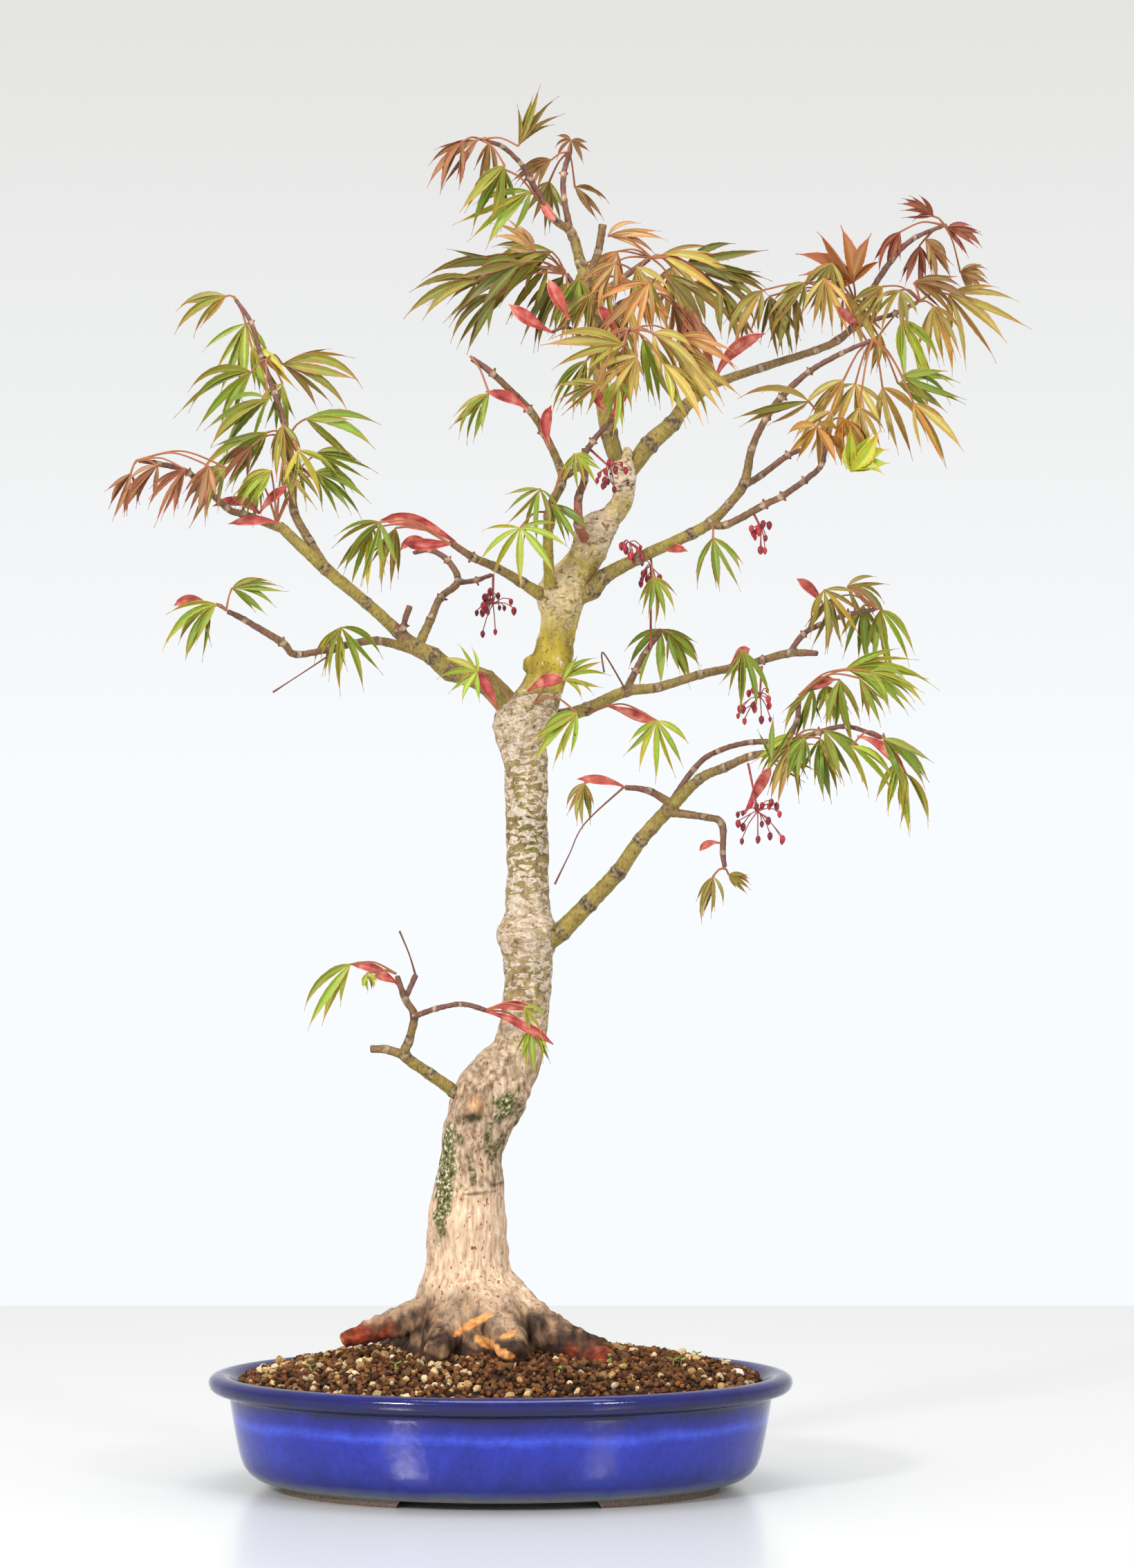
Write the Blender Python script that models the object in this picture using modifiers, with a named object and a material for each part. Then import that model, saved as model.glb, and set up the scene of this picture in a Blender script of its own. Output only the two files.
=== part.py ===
"""A maple bonsai in a glazed oval pot, with its drainage mesh, soil, trunk, limbs, shoots, leaves,
bud scales and flowers.

Metres, +Z up. The pot stands on Z = 0, and the origin is under the middle of the whole object.
The tables below are in millimetres, measured from the middle of the pot.
"""

import math

import bmesh
import bpy
from mathutils import Vector

MM = 0.001

# Driving dimensions, in mm
POT_LENGTH = 300.0  # over the lip, left to right
POT_WIDTH = 228.0  # over the lip, front to back
POT_HEIGHT = 58.5  # table to the top of the lip
LIP_OVERHANG = 10.6  # how far the lip stands out from the wall
LIP_HEIGHT = 10.5
LIP_WIDTH = 13.5
WALL = 6.5
FLOOR = 7.0
FOOT_HEIGHT = 4.0
FOOT_WIDTH = 16.0
FOOT_GAP_FRONT = 104.0  # between the feet, along the front
FOOT_GAP_SIDE = 60.0  # between the feet, round the ends
DRAIN_HOLE = 20.0  # diameter
DRAIN_SPACING = 140.0
MESH_SIDE = 32.0  # the square of plastic mesh over each drain hole
MESH_THICKNESS = 1.4
MESH_OPENING = 4.6
MESH_BAR = 2.0
SOIL_MOUND = 13.0  # soil at the trunk, above the lip
TREE_HEIGHT = 651.0  # soil at the trunk to the highest leaf
GAP = 0.4  # between two pieces that touch
LEAF_THICKNESS = 1.0
PETIOLE_RADIUS = 0.9
BUD_RADIUS = 2.0  # at the foot of each spray
SCALE_WIDTH = 7.0
SCALE_THICKNESS = 1.4

# The tree is set out on its front elevation as an eye 2.6 m away sees it, so that a point
# further back stands a little wider and higher than it is drawn.
EYE_X = 34.0
EYE_Z = 360.5
EYE_DISTANCE = 2600.0
DRAWN_SOIL = 71.5
DRAWN_HEIGHT = 651.0
ORIGIN_X = 38.2  # the whole object's middle, from the pot's middle
ORIGIN_Y = 0.0

POT_SIDES = 36
TRUNK_ROUND = 3  # a curve's bevel_resolution: 2 * this + 4 sides
LIMB_ROUND = 1
TWIG_ROUND = 1
PETIOLE_ROUND = 0

# x, y, z, radius
TRUNK = [
    (-14, 0, 42, 33), (-14, 0, 68, 39), (-14.5, 0, 80, 36), (-14.2, 0, 93, 31), (-16.3, 0, 103, 26.5),
    (-17.1, 0, 115, 21.9), (-17.4, -1, 140, 20), (-15.3, -1, 157, 17.4), (-15.2, -1, 171, 15.8),
    (-12.6, -2, 183, 16.8), (-6, -2, 199, 19), (1.4, -1, 211, 17), (8.3, 0, 222, 13.4), (12.1, 1, 238, 12.5),
    (13.9, 1, 258, 12.4), (14, 1, 272, 13.2), (14, 1, 284, 16.2), (13.7, 1, 297, 11.4), (13.5, 1, 330, 11),
    (13, 0, 364, 11.2), (11.5, 0, 380, 12), (11, 0, 392, 14.4), (20, 1, 405, 11.2), (26.6, 2, 426, 10.2),
    (30.2, 3, 444, 9.6), (31.6, 3, 458, 13), (40, 4, 471, 9.2), (46, 4, 482, 8.8), (48.5, 4, 490, 9.6),
    (58, 5, 499, 6), (63.5, 5, 510, 5.4), (62.5, 5, 520, 6.6), (61, 5, 527, 5.2),
]
ROOTS = [
    [(-26, -8, 92, 12), (-46, -14, 87, 6.5), (-62, -19, 82, 4.6), (-84, -26, 73.5, 4)],
    [(-4, -10, 90, 12), (19, -20, 84, 7), (40, -30, 77, 5), (60, -38, 67, 4)],
    [(0, 4, 92, 12), (26, 8, 84, 8), (52, 12, 77, 5), (74, 18, 66, 3.6)],
    [(-20, -12, 88, 12), (-26, -34, 78, 7), (-34, -52, 68, 4.5)],
    [(-8, -14, 86, 12), (2, -38, 76, 6.5), (8, -54, 66, 4.5)],
    [(-26, 8, 90, 12), (-46, 26, 80, 7), (-62, 42, 68, 4.5)],
    [(-10, 14, 88, 12), (-6, 40, 78, 7), (4, 58, 67, 4.5)],
]
KNOBS = [
    [(-14, -8, 190, 9), (-17, -16, 192, 7.5), (-18, -20, 193, 5)],
    [(4, -6, 203, 9), (9, -14, 204, 8), (11, -17, 204, 5)],
    [(24, 2, 421, 6), (15, -1, 422, 5), (12, -2, 422, 3)],
    [(62, 5, 522, 4), (64.5, 3, 528, 2.8), (65.6, 2, 533, 2)],
]
# Each limb is its stem and the twigs that leave it
LIMBS = {
    "limb_left": [
        [(8, 0, 396, 7), (-8, -2, 413, 6.2), (-26, -5, 419, 5.6), (-35, -7, 426, 4.7), (-45, -9, 431.5, 4.3),
         (-53, -11, 439, 3.4), (-69, -14, 453.5, 3.1), (-90, -17, 471, 3.3), (-114, -20, 493.5, 2.7)],
        [(-113, -20, 492, 2.6), (-132, -30, 499, 2), (-141, -36, 502.5, 1.8), (-160, -48, 520, 1.6),
         (-176, -58, 525, 1.4), (-186, -62, 526.3, 1.1)],
        [(-89, -17, 470, 2.6), (-98, -13, 485, 2.4), (-106, -6, 500, 2.3), (-107, 0, 515, 2.1),
         (-110, 8, 540, 1.9), (-116, 14, 561, 1.6), (-123, 20, 580, 1.4), (-128, 24, 597, 1.3),
         (-136, 30, 609, 1.1)],
        [(-46, -9, 430, 2.8), (-63, -22, 434, 2.2), (-75, -32, 432.7, 2), (-104, -48, 427, 1.8),
         (-112, -54, 433, 2), (-132, -64, 445, 1.6), (-140, -70, 449, 1.4)],
        [(-42, -7, 432, 2.8), (-36, 6, 445, 2.3), (-31, 18, 456, 2), (-22, 28, 464.5, 2), (-27, 36, 475, 1.6),
         (-36, 42, 480.5, 1.5), (-45, 46, 479, 1.2)],
        [(-22, 28, 464, 1.6), (-13, 32, 465, 1.4), (-4.6, 36, 468, 1.2)],
        [(-48, -9, 434, 2.4), (-50, -14, 441, 1.6), (-46.7, -17, 452, 1.8)],
    ],
    "limb_low_right": [
        [(20, -2, 277, 5.5), (31, -5, 285, 5.1), (45, -10, 299, 4.5), (60, -15, 315, 4.2),
         (72, -20, 332, 3.7),
         (86.6, -26, 348, 3.6), (102, -34, 363, 2.7), (115, -42, 369, 2.4), (129, -50, 375, 2),
         (144, -58, 377, 1.7)],
        [(78, -22, 336, 2.2), (99, -20, 368, 1.6), (112, -26, 377.5, 1.5), (129, -36, 382, 1.5),
         (147, -44, 382, 1.8), (163, -54, 387, 1.5), (178, -58, 390, 1.3), (196, -60, 384, 1.1)],
        [(146, -44, 381, 1.6), (152, -46, 393, 1.5), (153, -44, 405, 1.3)],
        [(86, -26, 346, 2.4), (105, -36, 343.5, 1.9), (113.5, -42, 340, 2), (114, -46, 325, 1.5),
         (115, -48, 318, 1.4)],
        [(88, -27, 350, 2.4), (76, -32, 357, 1.8), (64, -36, 358.7, 1.4)],
    ],
    "limb_second_right": [
        [(20, 8, 392, 4.5), (30, 14, 395, 4), (44, 20, 399, 3.4), (64, 27, 408, 3), (80, 32, 410, 2.6),
         (102, 38, 416.6, 2.4), (118, 42, 420, 2.2), (134, 47, 424, 2), (148, 50, 427.6, 2.2),
         (163, 52, 427.6, 1.5)],
        [(64, 27, 408, 2.2), (69, 34, 418, 1.8), (74, 42, 428, 1.6), (82, 52, 438, 1.4)],
        [(148, 50, 427.6, 1.7), (155, 54, 437, 1.6), (163, 58, 442, 1.5), (178, 66, 447.5, 1.4),
         (192, 74, 450, 1.2)],
    ],
    "limb_middle_right": [
        [(36, 2, 456, 5.5), (47, -2, 460, 4.6), (53, -4, 467, 4.1), (71, -10, 476.6, 3.3), (98, -18, 489, 3),
         (108, -22, 495, 2.9), (117, -26, 504, 2.4), (125, -30, 515, 2.6), (129, -33, 533, 2),
         (136, -38, 548, 1.9),
         (144, -42, 559, 1.8), (158, -46, 572, 1.6), (175, -50, 581.7, 1.4), (190, -52, 588.4, 1.1)],
        [(125, -30, 514, 2), (133, -24, 518.5, 1.8), (147, -18, 529, 1.6), (154, -14, 532, 1.3)],
        [(107, -22, 494, 2.3), (116, -27, 493.6, 2), (135, -34, 503.7, 1.9), (144, -40, 508, 1.7),
         (155.5, -46, 516, 1.6), (165, -52, 525, 1.5), (166, -54, 539, 1.2)],
    ],
    "limb_upper_right": [
        [(64, 6, 518, 4.2), (76, 10, 534.5, 4.8), (88, 15, 545.6, 4.3), (93, 17, 552.6, 3.6),
         (105, 22, 563.7, 2.9),
         (109, 24, 566, 2.7), (133, 33, 574, 2.3), (161, 42, 583, 2.1), (173, 46, 588.4, 2.2),
         (181, 49, 596, 2),
         (188, 52, 610, 1.8), (201, 56, 630, 1.6), (212, 60, 640.6, 1.4), (227, 66, 647, 1.1)],
        [(172, 46, 588, 1.9), (186, 42, 597, 1.5), (202, 38, 602, 1.3), (214, 44, 608, 1.1)],
    ],
    "leader": [
        [(61.5, 5, 522, 4), (55.5, 5, 541, 4.6), (50, 4, 577, 3.7), (48, 4, 602, 3.2), (41, 4, 628, 2.9),
         (36, 4, 644, 2.5), (27, 0, 651, 2), (15, -4, 671, 1.6), (10, -6, 679.4, 1.4), (0.4, -10, 688, 1.3),
         (-9, -15, 691, 1.1)],
        [(36.6, 4.4, 640, 2.1), (32.5, 8, 661, 1.6), (32.3, 11, 673.3, 1.5), (34.8, 14, 684, 1.2)],
        [(44, 3.4, 618, 2.2), (50, 2, 634, 2), (52.4, 0, 648, 2.2)],
        [(50.2, 3, 576, 2.1), (56, -18, 584, 1.8), (62, -44, 592, 1.6), (66, -66, 594, 1.3)],
        [(48.2, 4.6, 600, 2.1), (40, 22, 612, 1.8), (34, 40, 622, 1.4)],
        [(46.4, 4.2, 609, 2.1), (62, 16, 620, 1.8), (76, 30, 630, 1.4)],
        [(48.7, 3.4, 591, 2.1), (60, -14, 606, 1.8), (74, -22, 612, 1.5)],
    ],
    "shoot_green": [
        [(25, -10, 462, 3), (24.5, -22, 498, 2.5), (31, -25, 514.4, 2.4), (30, -27, 524, 2.2),
         (22, -31, 541, 2),
         (14.6, -34, 552.6, 2), (-4, -38, 571, 1.7), (-14.9, -40, 579, 1.5)],
        [(31, -25, 517, 1.8), (38, -21, 522, 1.6), (47, -17, 536, 1.6), (57, -13, 548, 1.4)],
    ],
    "shoot_red": [
        [(43, -4, 486, 2.4), (40, -14, 494, 2.7), (40, -14, 508, 2.1), (43, -11, 517, 2),
         (43, -12, 533, 1.6)],
    ],
    "twig_collar": [
        [(20, -4, 458, 3.5), (10, -10, 464.5, 2.8), (-3, -18, 472, 2.4), (-14, -26, 476.7, 2.1),
         (-25, -32, 484, 1.8)],
    ],
    "branch_basal": [
        [(-12, -4, 192, 4), (-24.5, -8, 203, 3.5), (-37, -12, 212, 3.1), (-49, -16, 221, 2.9),
         (-47, -17, 229, 2.3),
         (-44.4, -19, 241.6, 2.1), (-49, -21, 250, 1.9), (-53.3, -23, 262, 1.4)],
        [(-47, -16, 220, 2.4), (-58, -14, 224, 2.3), (-67, -13, 224.4, 2)],
        [(-45, -19, 241, 1.6), (-33.5, -26, 245, 1.5), (-20, -32, 247.5, 1.4), (-8, -37, 244.4, 1.4)],
        [(-49, -21, 250, 1.4), (-43.7, -16, 262.5, 1.6)],
    ],
}
# Each spray of leaves: where it sits on its twig, the middle of its petioles' bundle, and its leaves as
# x, y, z, lean in degrees (0 right, 90 up), length, spread in degrees
SPRAYS = {
    "leaves_apex_left": ((-10, -15.6, 691.3), [
        (9, -18, 688, 60, 34, 45), (-12, -22, 691, -140, 36, 35), (-6, -4, 690, -95, 28, 40),
        (2, -25, 678, -120, 40, 45)]),
    "leaves_apex_mid": ((19.2, -4.4, 660.2), [(15, -12, 665, -140, 46, 30)]),
    "leaves_apex_right": ((34.9, 14.6, 685), [
        (26, 14, 681, -145, 27, 55), (25, 22, 670, -100, 27, 70), (38, 30, 667, -40, 24, 40),
        (36, 18, 691, -100, 14, 200)]),
    "leaves_crown_left": ((33.2, 42.5, 622.5), [
        (31, 40, 629, -170, 84, 30), (27, 52, 626, -150, 84, 30), (32, 65, 621, -125, 42, 40)]),
    "leaves_crown_front": ((75, -23, 612.5), [
        (59, -45, 628, -115, 27, 90), (76, -56, 618, -130, 40, 80), (88, -34, 607, -65, 44, 40)]),
    "leaves_crown_right": ((77.2, 31.6, 630.8), [(82, 35, 632, -15, 46, 30), (98, 60, 618, -40, 38, 40)]),
    "leaves_crown_low": ((66.4, -68, 594.2), [
        (63, -85, 586, -175, 46, 30), (50, -98, 566, -150, 27, 70), (78, -66, 592, -55, 62, 40)]),
    "leaves_shoot_green": ((-15.6, -40.7, 580.2), [(-6, -48, 561, -125, 32, 45)]),
    "leaves_left_top": ((-137, 30.7, 610.6), [(-141, 32, 611, -150, 35, 35), (-131, 38, 597, -100, 42, 85)]),
    "leaves_left_mid": ((-120.6, 14.4, 578.4), [(-128, 6, 572, -145, 44, 60), (-112, 40, 576, -15, 46, 65)]),
    "leaves_left_base": ((-109.5, 4.6, 538), [
        (-120, -8, 541, -140, 46, 45), (-100, -1, 548, -20, 42, 40), (-104, -16, 532, -70, 32, 100)]),
    "leaves_left_tip": ((-187, -62.4, 526.6), [(-162, -66, 522, -125, 32, 50),
        (-190, -64, 520, -110, 26, 60)]),
    "leaves_left_lower": ((-115, -20.5, 494.5), [(-118, -33, 521.5, -135, 30, 45),
        (-96, 8, 520, -40, 34, 70)]),
    "leaves_twig_collar": ((-25.6, -34, 483.4), [(-62, -50, 495, -120, 38, 100),
        (-54, -40, 492, -105, 32, 55)]),
    "leaves_low_left": ((-141, -70.6, 449.6), [(-146, -76, 453, -140, 42, 35),
        (-138, -66, 461, -10, 30, 65)]),
    "leaves_left_under": ((-83, -37.5, 429), [(-82, -44, 441, -70, 36, 100)]),
    "leaves_right_top": ((228, 66.4, 647.2), [
        (222, 62, 652, 155, 21, 50), (229, 76, 646, -25, 23, 65), (215, 66, 637, -95, 26, 65),
        (236, 80, 623, -20, 18, 100)]),
    "leaves_right_upper": ((215.2, 44.5, 608.4), [
        (230, 56, 612, -40, 46, 90), (206, 34, 599, -70, 42, 50), (205, 28, 614, -110, 26, 110)]),
    "leaves_right_star": ((182.4, 48, 606.6), [(181, 36, 618, 120, 34, 150), (166, 24, 620, -80, 34, 75)]),
    "leaves_right_mid": ((191, -52.2, 588.9), [
        (182, -40, 566, -95, 36, 110), (184, -58, 554, -85, 34, 90), (204, -34, 566, -15, 37, 40),
        (212, -50, 556, -55, 40, 40)]),
    "leaves_right_inner": ((166.2, -54.2, 540.2), [
        (162, -84, 544, -90, 24, 150), (158, -66, 557, -170, 42, 35), (180, -90, 521, 50, 27, 110)]),
    "leaves_shoot_mid": ((24, -26.5, 500), [(10, -46, 492, -85, 34, 190), (20, -36, 512, -110, 30, 120)]),
    "leaves_collar_left": ((5, -11.8, 405), [(-12, -30, 418, -175, 23, 170)]),
    "leaves_collar_right": ((17, -11, 402), [(32, -35, 414, 10, 25, 95), (39, -44, 397, -130, 35, 60)]),
    "leaves_second_twig": ((45, 16.8, 397), [(80, -14, 393, -90, 32, 110)]),
    "leaves_second_top": ((82.6, 52.8, 439), [(82, 56, 440, -85, 34, 125)]),
    "leaves_mid_hang": ((77, -10.5, 476), [(78, -20, 467, -80, 26, 80)]),
    "leaves_mid_low": ((109, -26, 493), [(109, -38, 487, -80, 32, 80)]),
    "leaves_second_mid": ((121, 40.5, 422.6), [(124, 20, 429, -85, 34, 70)]),
    "leaves_second_tip": ((193, 74.6, 450.2), [
        (166, 50, 460, -65, 31, 110), (195, 80, 450, -75, 39, 70), (178, 90, 462, -30, 26, 90)]),
    "leaves_low_up": ((153.2, -44, 406), [
        (177, -51, 419.5, -10, 52, 55), (184, -74, 415, -60, 30, 40), (167, -40, 411, -75, 24, 80)]),
    "leaves_low_far": ((197, -60.2, 383.7), [
        (208, -62, 366, -80, 34, 45), (180, -98, 380, -50, 34, 40)]),
    "leaves_low_mid": ((144.6, -58.4, 377.2), [
        (139, -86, 372, 40, 30, 140), (156, -96, 384, -110, 26, 55), (164, -74, 384, -85, 34, 55)]),
    "leaves_low_down": ((115, -48.4, 317.2), [(109, -56, 313, -100, 24, 50), (117, -46, 314, -30, 14, 45)]),
    "leaves_low_twig": ((63.2, -36.2, 358.9), [(43, -40, 361, -95, 24, 60)]),
    "leaves_basal_left": ((-53.7, -23.2, 263), [(-77, -32, 268, -125, 39, 35), (-69, -27, 263, -75, 10, 80)]),
    "leaves_basal_front": ((-7, -37.6, 244.2), [(12, -44, 246, -50, 16, 40), (15, -38, 235, -80, 24, 70)]),
}
# Straps of bud scale: base, middle, tip
SCALES = {
    "bud_scales_collar": [[(-23.5, -28.6, 484.6), (-42, -29, 499), (-60, -30, 498)], [(-23.5, -28.6, 484.6),
        (-36, -27, 484), (-50, -28, 488)]],
    "bud_scales_left_tip": [[(-124, -25, 499.5), (-134, -22, 510), (-148, -22, 507)], [(-124, -25, 499.5),
        (-119, -22, 508), (-113, -24, 517)]],
    "bud_scales_basal": [[(-51.5, -19.6, 256), (-64, -16, 269), (-78, -13, 268)]],
}
# Flower clusters: where the stalk leaves the wood, the cluster's middle, its half width
FLOWERS = {
    "flowers_left": ((-3.9, 36.3, 468.3), (-4, 40, 448), 14),
    "flowers_low_right": ((127, -50.5, 371), (132, -62, 342), 13),
    "flowers_second_right": ((134, 44.5, 421), (133, 34, 402), 10),
    "flowers_middle_right": ((130, -31, 499), (134, -30, 488), 9),
    "flowers_front": ((44, -12, 534), (56, -30, 520), 9),
}

COLOURS = {  # colour, roughness
    "pot": ((0.02, 0.035, 0.42), 0.12),
    "drainage_mesh": ((0.05, 0.05, 0.05), 0.5),
    "soil": ((0.09, 0.045, 0.025), 0.95),
    "bark": ((0.36, 0.31, 0.2), 0.85),
    "twig": ((0.3, 0.26, 0.09), 0.7),
    "leaf": ((0.27, 0.4, 0.04), 0.5),
    "scale": ((0.6, 0.12, 0.12), 0.5),
    "flower": ((0.3, 0.02, 0.04), 0.45),
}

for old in list(bpy.data.objects):
    bpy.data.objects.remove(old, do_unlink=True)


def new_collection(name):
    collection = bpy.data.collections.new(name)
    bpy.context.scene.collection.children.link(collection)
    return collection


parts = new_collection("maple_bonsai")
cutters = new_collection("cutters")
origin = bpy.data.objects.new("pot_middle", None)
origin.location = (-ORIGIN_X * MM, -ORIGIN_Y * MM, 0)
parts.objects.link(origin)
bpy.context.view_layer.update()


def principled(name):
    colour, roughness = COLOURS[name]
    made = bpy.data.materials.new(name)
    made.use_nodes = True
    shader = made.node_tree.nodes["Principled BSDF"]
    shader.inputs["Base Color"].default_value = (*colour, 1)
    shader.inputs["Roughness"].default_value = roughness
    shader.inputs["Metallic"].default_value = 0
    return made


MATERIALS = {name: principled(name) for name in COLOURS}


def add(name, mesh, material, collection=parts):
    """A named object under the pot's middle."""
    made = bpy.data.objects.new(name, mesh)
    made.parent = origin
    collection.objects.link(made)
    mesh.materials.clear()
    mesh.materials.append(MATERIALS[material])
    return made


def stand(x, y, z):
    """A point of the tree's drawn elevation, in metres where it stands."""
    wider = 1 + y / EYE_DISTANCE
    x = EYE_X + (x - EYE_X) * wider
    z = EYE_Z + (z - EYE_Z) * wider
    size = TREE_HEIGHT / DRAWN_HEIGHT
    soil = POT_HEIGHT + SOIL_MOUND
    return Vector((x * size, y * size, soil + (z - DRAWN_SOIL) * size)) * MM


def evaluated_mesh(thing):
    """The object's mesh with its modifiers done, in its own space."""
    bpy.context.view_layer.update()
    shown = thing.evaluated_get(bpy.context.evaluated_depsgraph_get())
    mesh = bpy.data.meshes.new_from_object(shown)
    work = bmesh.new()
    work.from_mesh(mesh)
    bmesh.ops.remove_doubles(work, verts=work.verts, dist=0.00002)
    work.to_mesh(mesh)
    work.free()
    return mesh


def discard(thing):
    bpy.data.objects.remove(thing, do_unlink=True)


def boolean(base, operand, operation, use_self=False):
    """The mesh of base joined with, or cut by, operand."""
    modifier = base.modifiers.new("boolean", "BOOLEAN")
    modifier.operation = operation
    modifier.solver = "EXACT"
    modifier.use_self = use_self
    modifier.object = operand
    mesh = evaluated_mesh(base)
    base.modifiers.remove(modifier)
    base.data = mesh
    return base


def tube_mesh(points, resolution, grow=0.0):
    """A stem through drawn points, thicker and longer all round by grow."""
    curve = bpy.data.curves.new("tube", "CURVE")
    curve.dimensions = "3D"
    curve.bevel_depth = MM
    curve.bevel_resolution = resolution
    curve.use_fill_caps = True
    spline = curve.splines.new("POLY")
    spline.points.add(len(points) - 1)
    places = [stand(*point[:3]) for point in points]
    if grow:
        places[0] += (places[0] - places[1]).normalized() * grow * MM
        places[-1] += (places[-1] - places[-2]).normalized() * grow * MM
    size = TREE_HEIGHT / DRAWN_HEIGHT
    for knot, place, point in zip(spline.points, places, points):
        knot.co = (*place, 1)
        knot.radius = point[3] * size + grow
    thing = bpy.data.objects.new("tube", curve)
    cutters.objects.link(thing)
    mesh = evaluated_mesh(thing)
    discard(thing)
    return mesh


def fused(name, meshes, material, collection=parts):
    """One body from meshes that run into each other."""
    whole = add(name, meshes[0], material, collection)
    for mesh in meshes[1:]:
        other = add("other", mesh, material, cutters)
        boolean(whole, other, "UNION")
        discard(other)
    return whole


def cut_all(thing, tools):
    for tool in tools:
        boolean(thing, tool, "DIFFERENCE")
    return thing


def as_cutter(thing):
    thing.hide_render = True
    thing.display_type = "WIRE"
    return thing


def box(name, low, high, top_inset=0.0):
    """A cutter box in mm, whose top is narrower along X by top_inset at each end."""
    work = bmesh.new()
    bmesh.ops.create_cube(work, size=1)
    for vert in work.verts:
        top = vert.co.z > 0
        for axis in range(3):
            vert.co[axis] = high[axis] * MM if vert.co[axis] > 0 else low[axis] * MM
        if top:
            vert.co.x -= math.copysign(top_inset * MM, vert.co.x - (low[0] + high[0]) / 2 * MM)
    mesh = bpy.data.meshes.new(name)
    work.to_mesh(mesh)
    work.free()
    return as_cutter(add(name, mesh, "pot", cutters))


def turned(name, profile, material, collection=parts):
    """A profile of (radius, height) in mm turned about Z and squashed to the pot's oval."""
    mesh = bpy.data.meshes.new(name)
    points = [(radius * MM, 0, height * MM) for radius, height in profile]
    mesh.from_pydata(points, [(i, i + 1) for i in range(len(points) - 1)], [])
    made = add(name, mesh, material, collection)
    screw = made.modifiers.new("turn", "SCREW")
    screw.steps = POT_SIDES
    screw.render_steps = POT_SIDES
    screw.use_merge_vertices = True
    screw.merge_threshold = 0.00001
    made.data = evaluated_mesh(made)
    made.modifiers.clear()
    for vert in made.data.vertices:
        vert.co.y *= POT_WIDTH / POT_LENGTH
    return made


# The pot: its outside and its inside as (radius, height), from the same wall
half = POT_LENGTH / 2
wall_top = half - LIP_OVERHANG
lip_under = POT_HEIGHT - LIP_HEIGHT
foot_out = half - 32
inside = [
    (0, FOOT_HEIGHT + FLOOR), (foot_out - 12, FOOT_HEIGHT + FLOOR),
    (wall_top - WALL - 13, FOOT_HEIGHT + FLOOR + 3),
    (wall_top - WALL - 5, FOOT_HEIGHT + FLOOR + 12), (wall_top - WALL, lip_under),
    (half - LIP_WIDTH, POT_HEIGHT - 4),
]
outside = [
    (half - LIP_WIDTH + 3, POT_HEIGHT - 1), (half - LIP_WIDTH + 6.5, POT_HEIGHT), (half - 3, POT_HEIGHT - 1),
    (half, POT_HEIGHT - 4), (half - 0.8, POT_HEIGHT - 7.4), (half - 4, POT_HEIGHT - 9.4),
    (wall_top, lip_under),
    (wall_top - 1.2, lip_under - 4), (wall_top - 3.4, lip_under * 0.56), (wall_top - 7.4, FOOT_HEIGHT + 8),
    (wall_top - 12, FOOT_HEIGHT + 2.6), (foot_out + 3, FOOT_HEIGHT), (foot_out, FOOT_HEIGHT - 0.6),
    (foot_out - 1.5, 0), (foot_out - FOOT_WIDTH, 0), (foot_out - FOOT_WIDTH - 1.5, FOOT_HEIGHT),
    (0, FOOT_HEIGHT),
]
pot = turned("pot", inside + outside, "pot")
foot_cuts = [
    box("gap_front", (-FOOT_GAP_FRONT / 2, -POT_WIDTH, -1), (FOOT_GAP_FRONT / 2, POT_WIDTH, FOOT_HEIGHT), 3),
    box("gap_side", (-POT_LENGTH, -FOOT_GAP_SIDE / 2, -1), (POT_LENGTH, FOOT_GAP_SIDE / 2, FOOT_HEIGHT)),
]


def drain_tool(name, x):
    work = bmesh.new()
    radius = DRAIN_HOLE / 2 * MM
    bmesh.ops.create_cone(work, cap_ends=True, segments=20, radius1=radius, radius2=radius,
                          depth=(FLOOR + 4) * MM)
    bmesh.ops.translate(work, verts=work.verts, vec=(x * MM, 0, (FOOT_HEIGHT + FLOOR / 2) * MM))
    mesh = bpy.data.meshes.new(name)
    work.to_mesh(mesh)
    work.free()
    return as_cutter(add(name, mesh, "pot", cutters))


DRAINS = {"left": -DRAIN_SPACING / 2, "right": DRAIN_SPACING / 2}
cut_all(pot, foot_cuts + [drain_tool(f"drain_{side}", x) for side, x in DRAINS.items()])

# The drainage mesh: a square of moulded plastic net over each hole, on the pot's floor
floor_top = FOOT_HEIGHT + FLOOR
pockets = []
for side, x in DRAINS.items():
    reach = MESH_SIDE / 2
    low = (x - reach, -reach, floor_top + GAP)
    high = (x + reach, reach, floor_top + GAP + MESH_THICKNESS)
    net = add(f"drainage_mesh_{side}", box("plate", low, high).data, "drainage_mesh")
    pitch = MESH_OPENING + MESH_BAR
    count = int((MESH_SIDE - MESH_BAR) / pitch)
    first = -(count - 1) / 2
    holes = []
    for row in range(count):
        for column in range(count):
            middle_x = x + (first + column) * pitch
            middle_y = (first + row) * pitch
            hole = MESH_OPENING / 2
            holes.append(box("net_hole", (middle_x - hole, middle_y - hole, low[2] - 1),
                             (middle_x + hole, middle_y + hole, high[2] + 1)))
    cut_all(net, holes)
    for hole in holes:
        discard(hole)
    pockets.append(box(f"pocket_{side}", (low[0] - GAP, low[1] - GAP, 0),
                       (high[0] + GAP, high[1] + GAP, high[2] + GAP)))


def trunk_meshes(grow):
    """The trunk with its roots, down into the soil, all of it larger by grow."""
    lumps = [tube_mesh(stem, LIMB_ROUND, grow) for stem in ROOTS + KNOBS]
    return [tube_mesh(TRUNK, TRUNK_ROUND, grow)] + lumps


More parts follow.
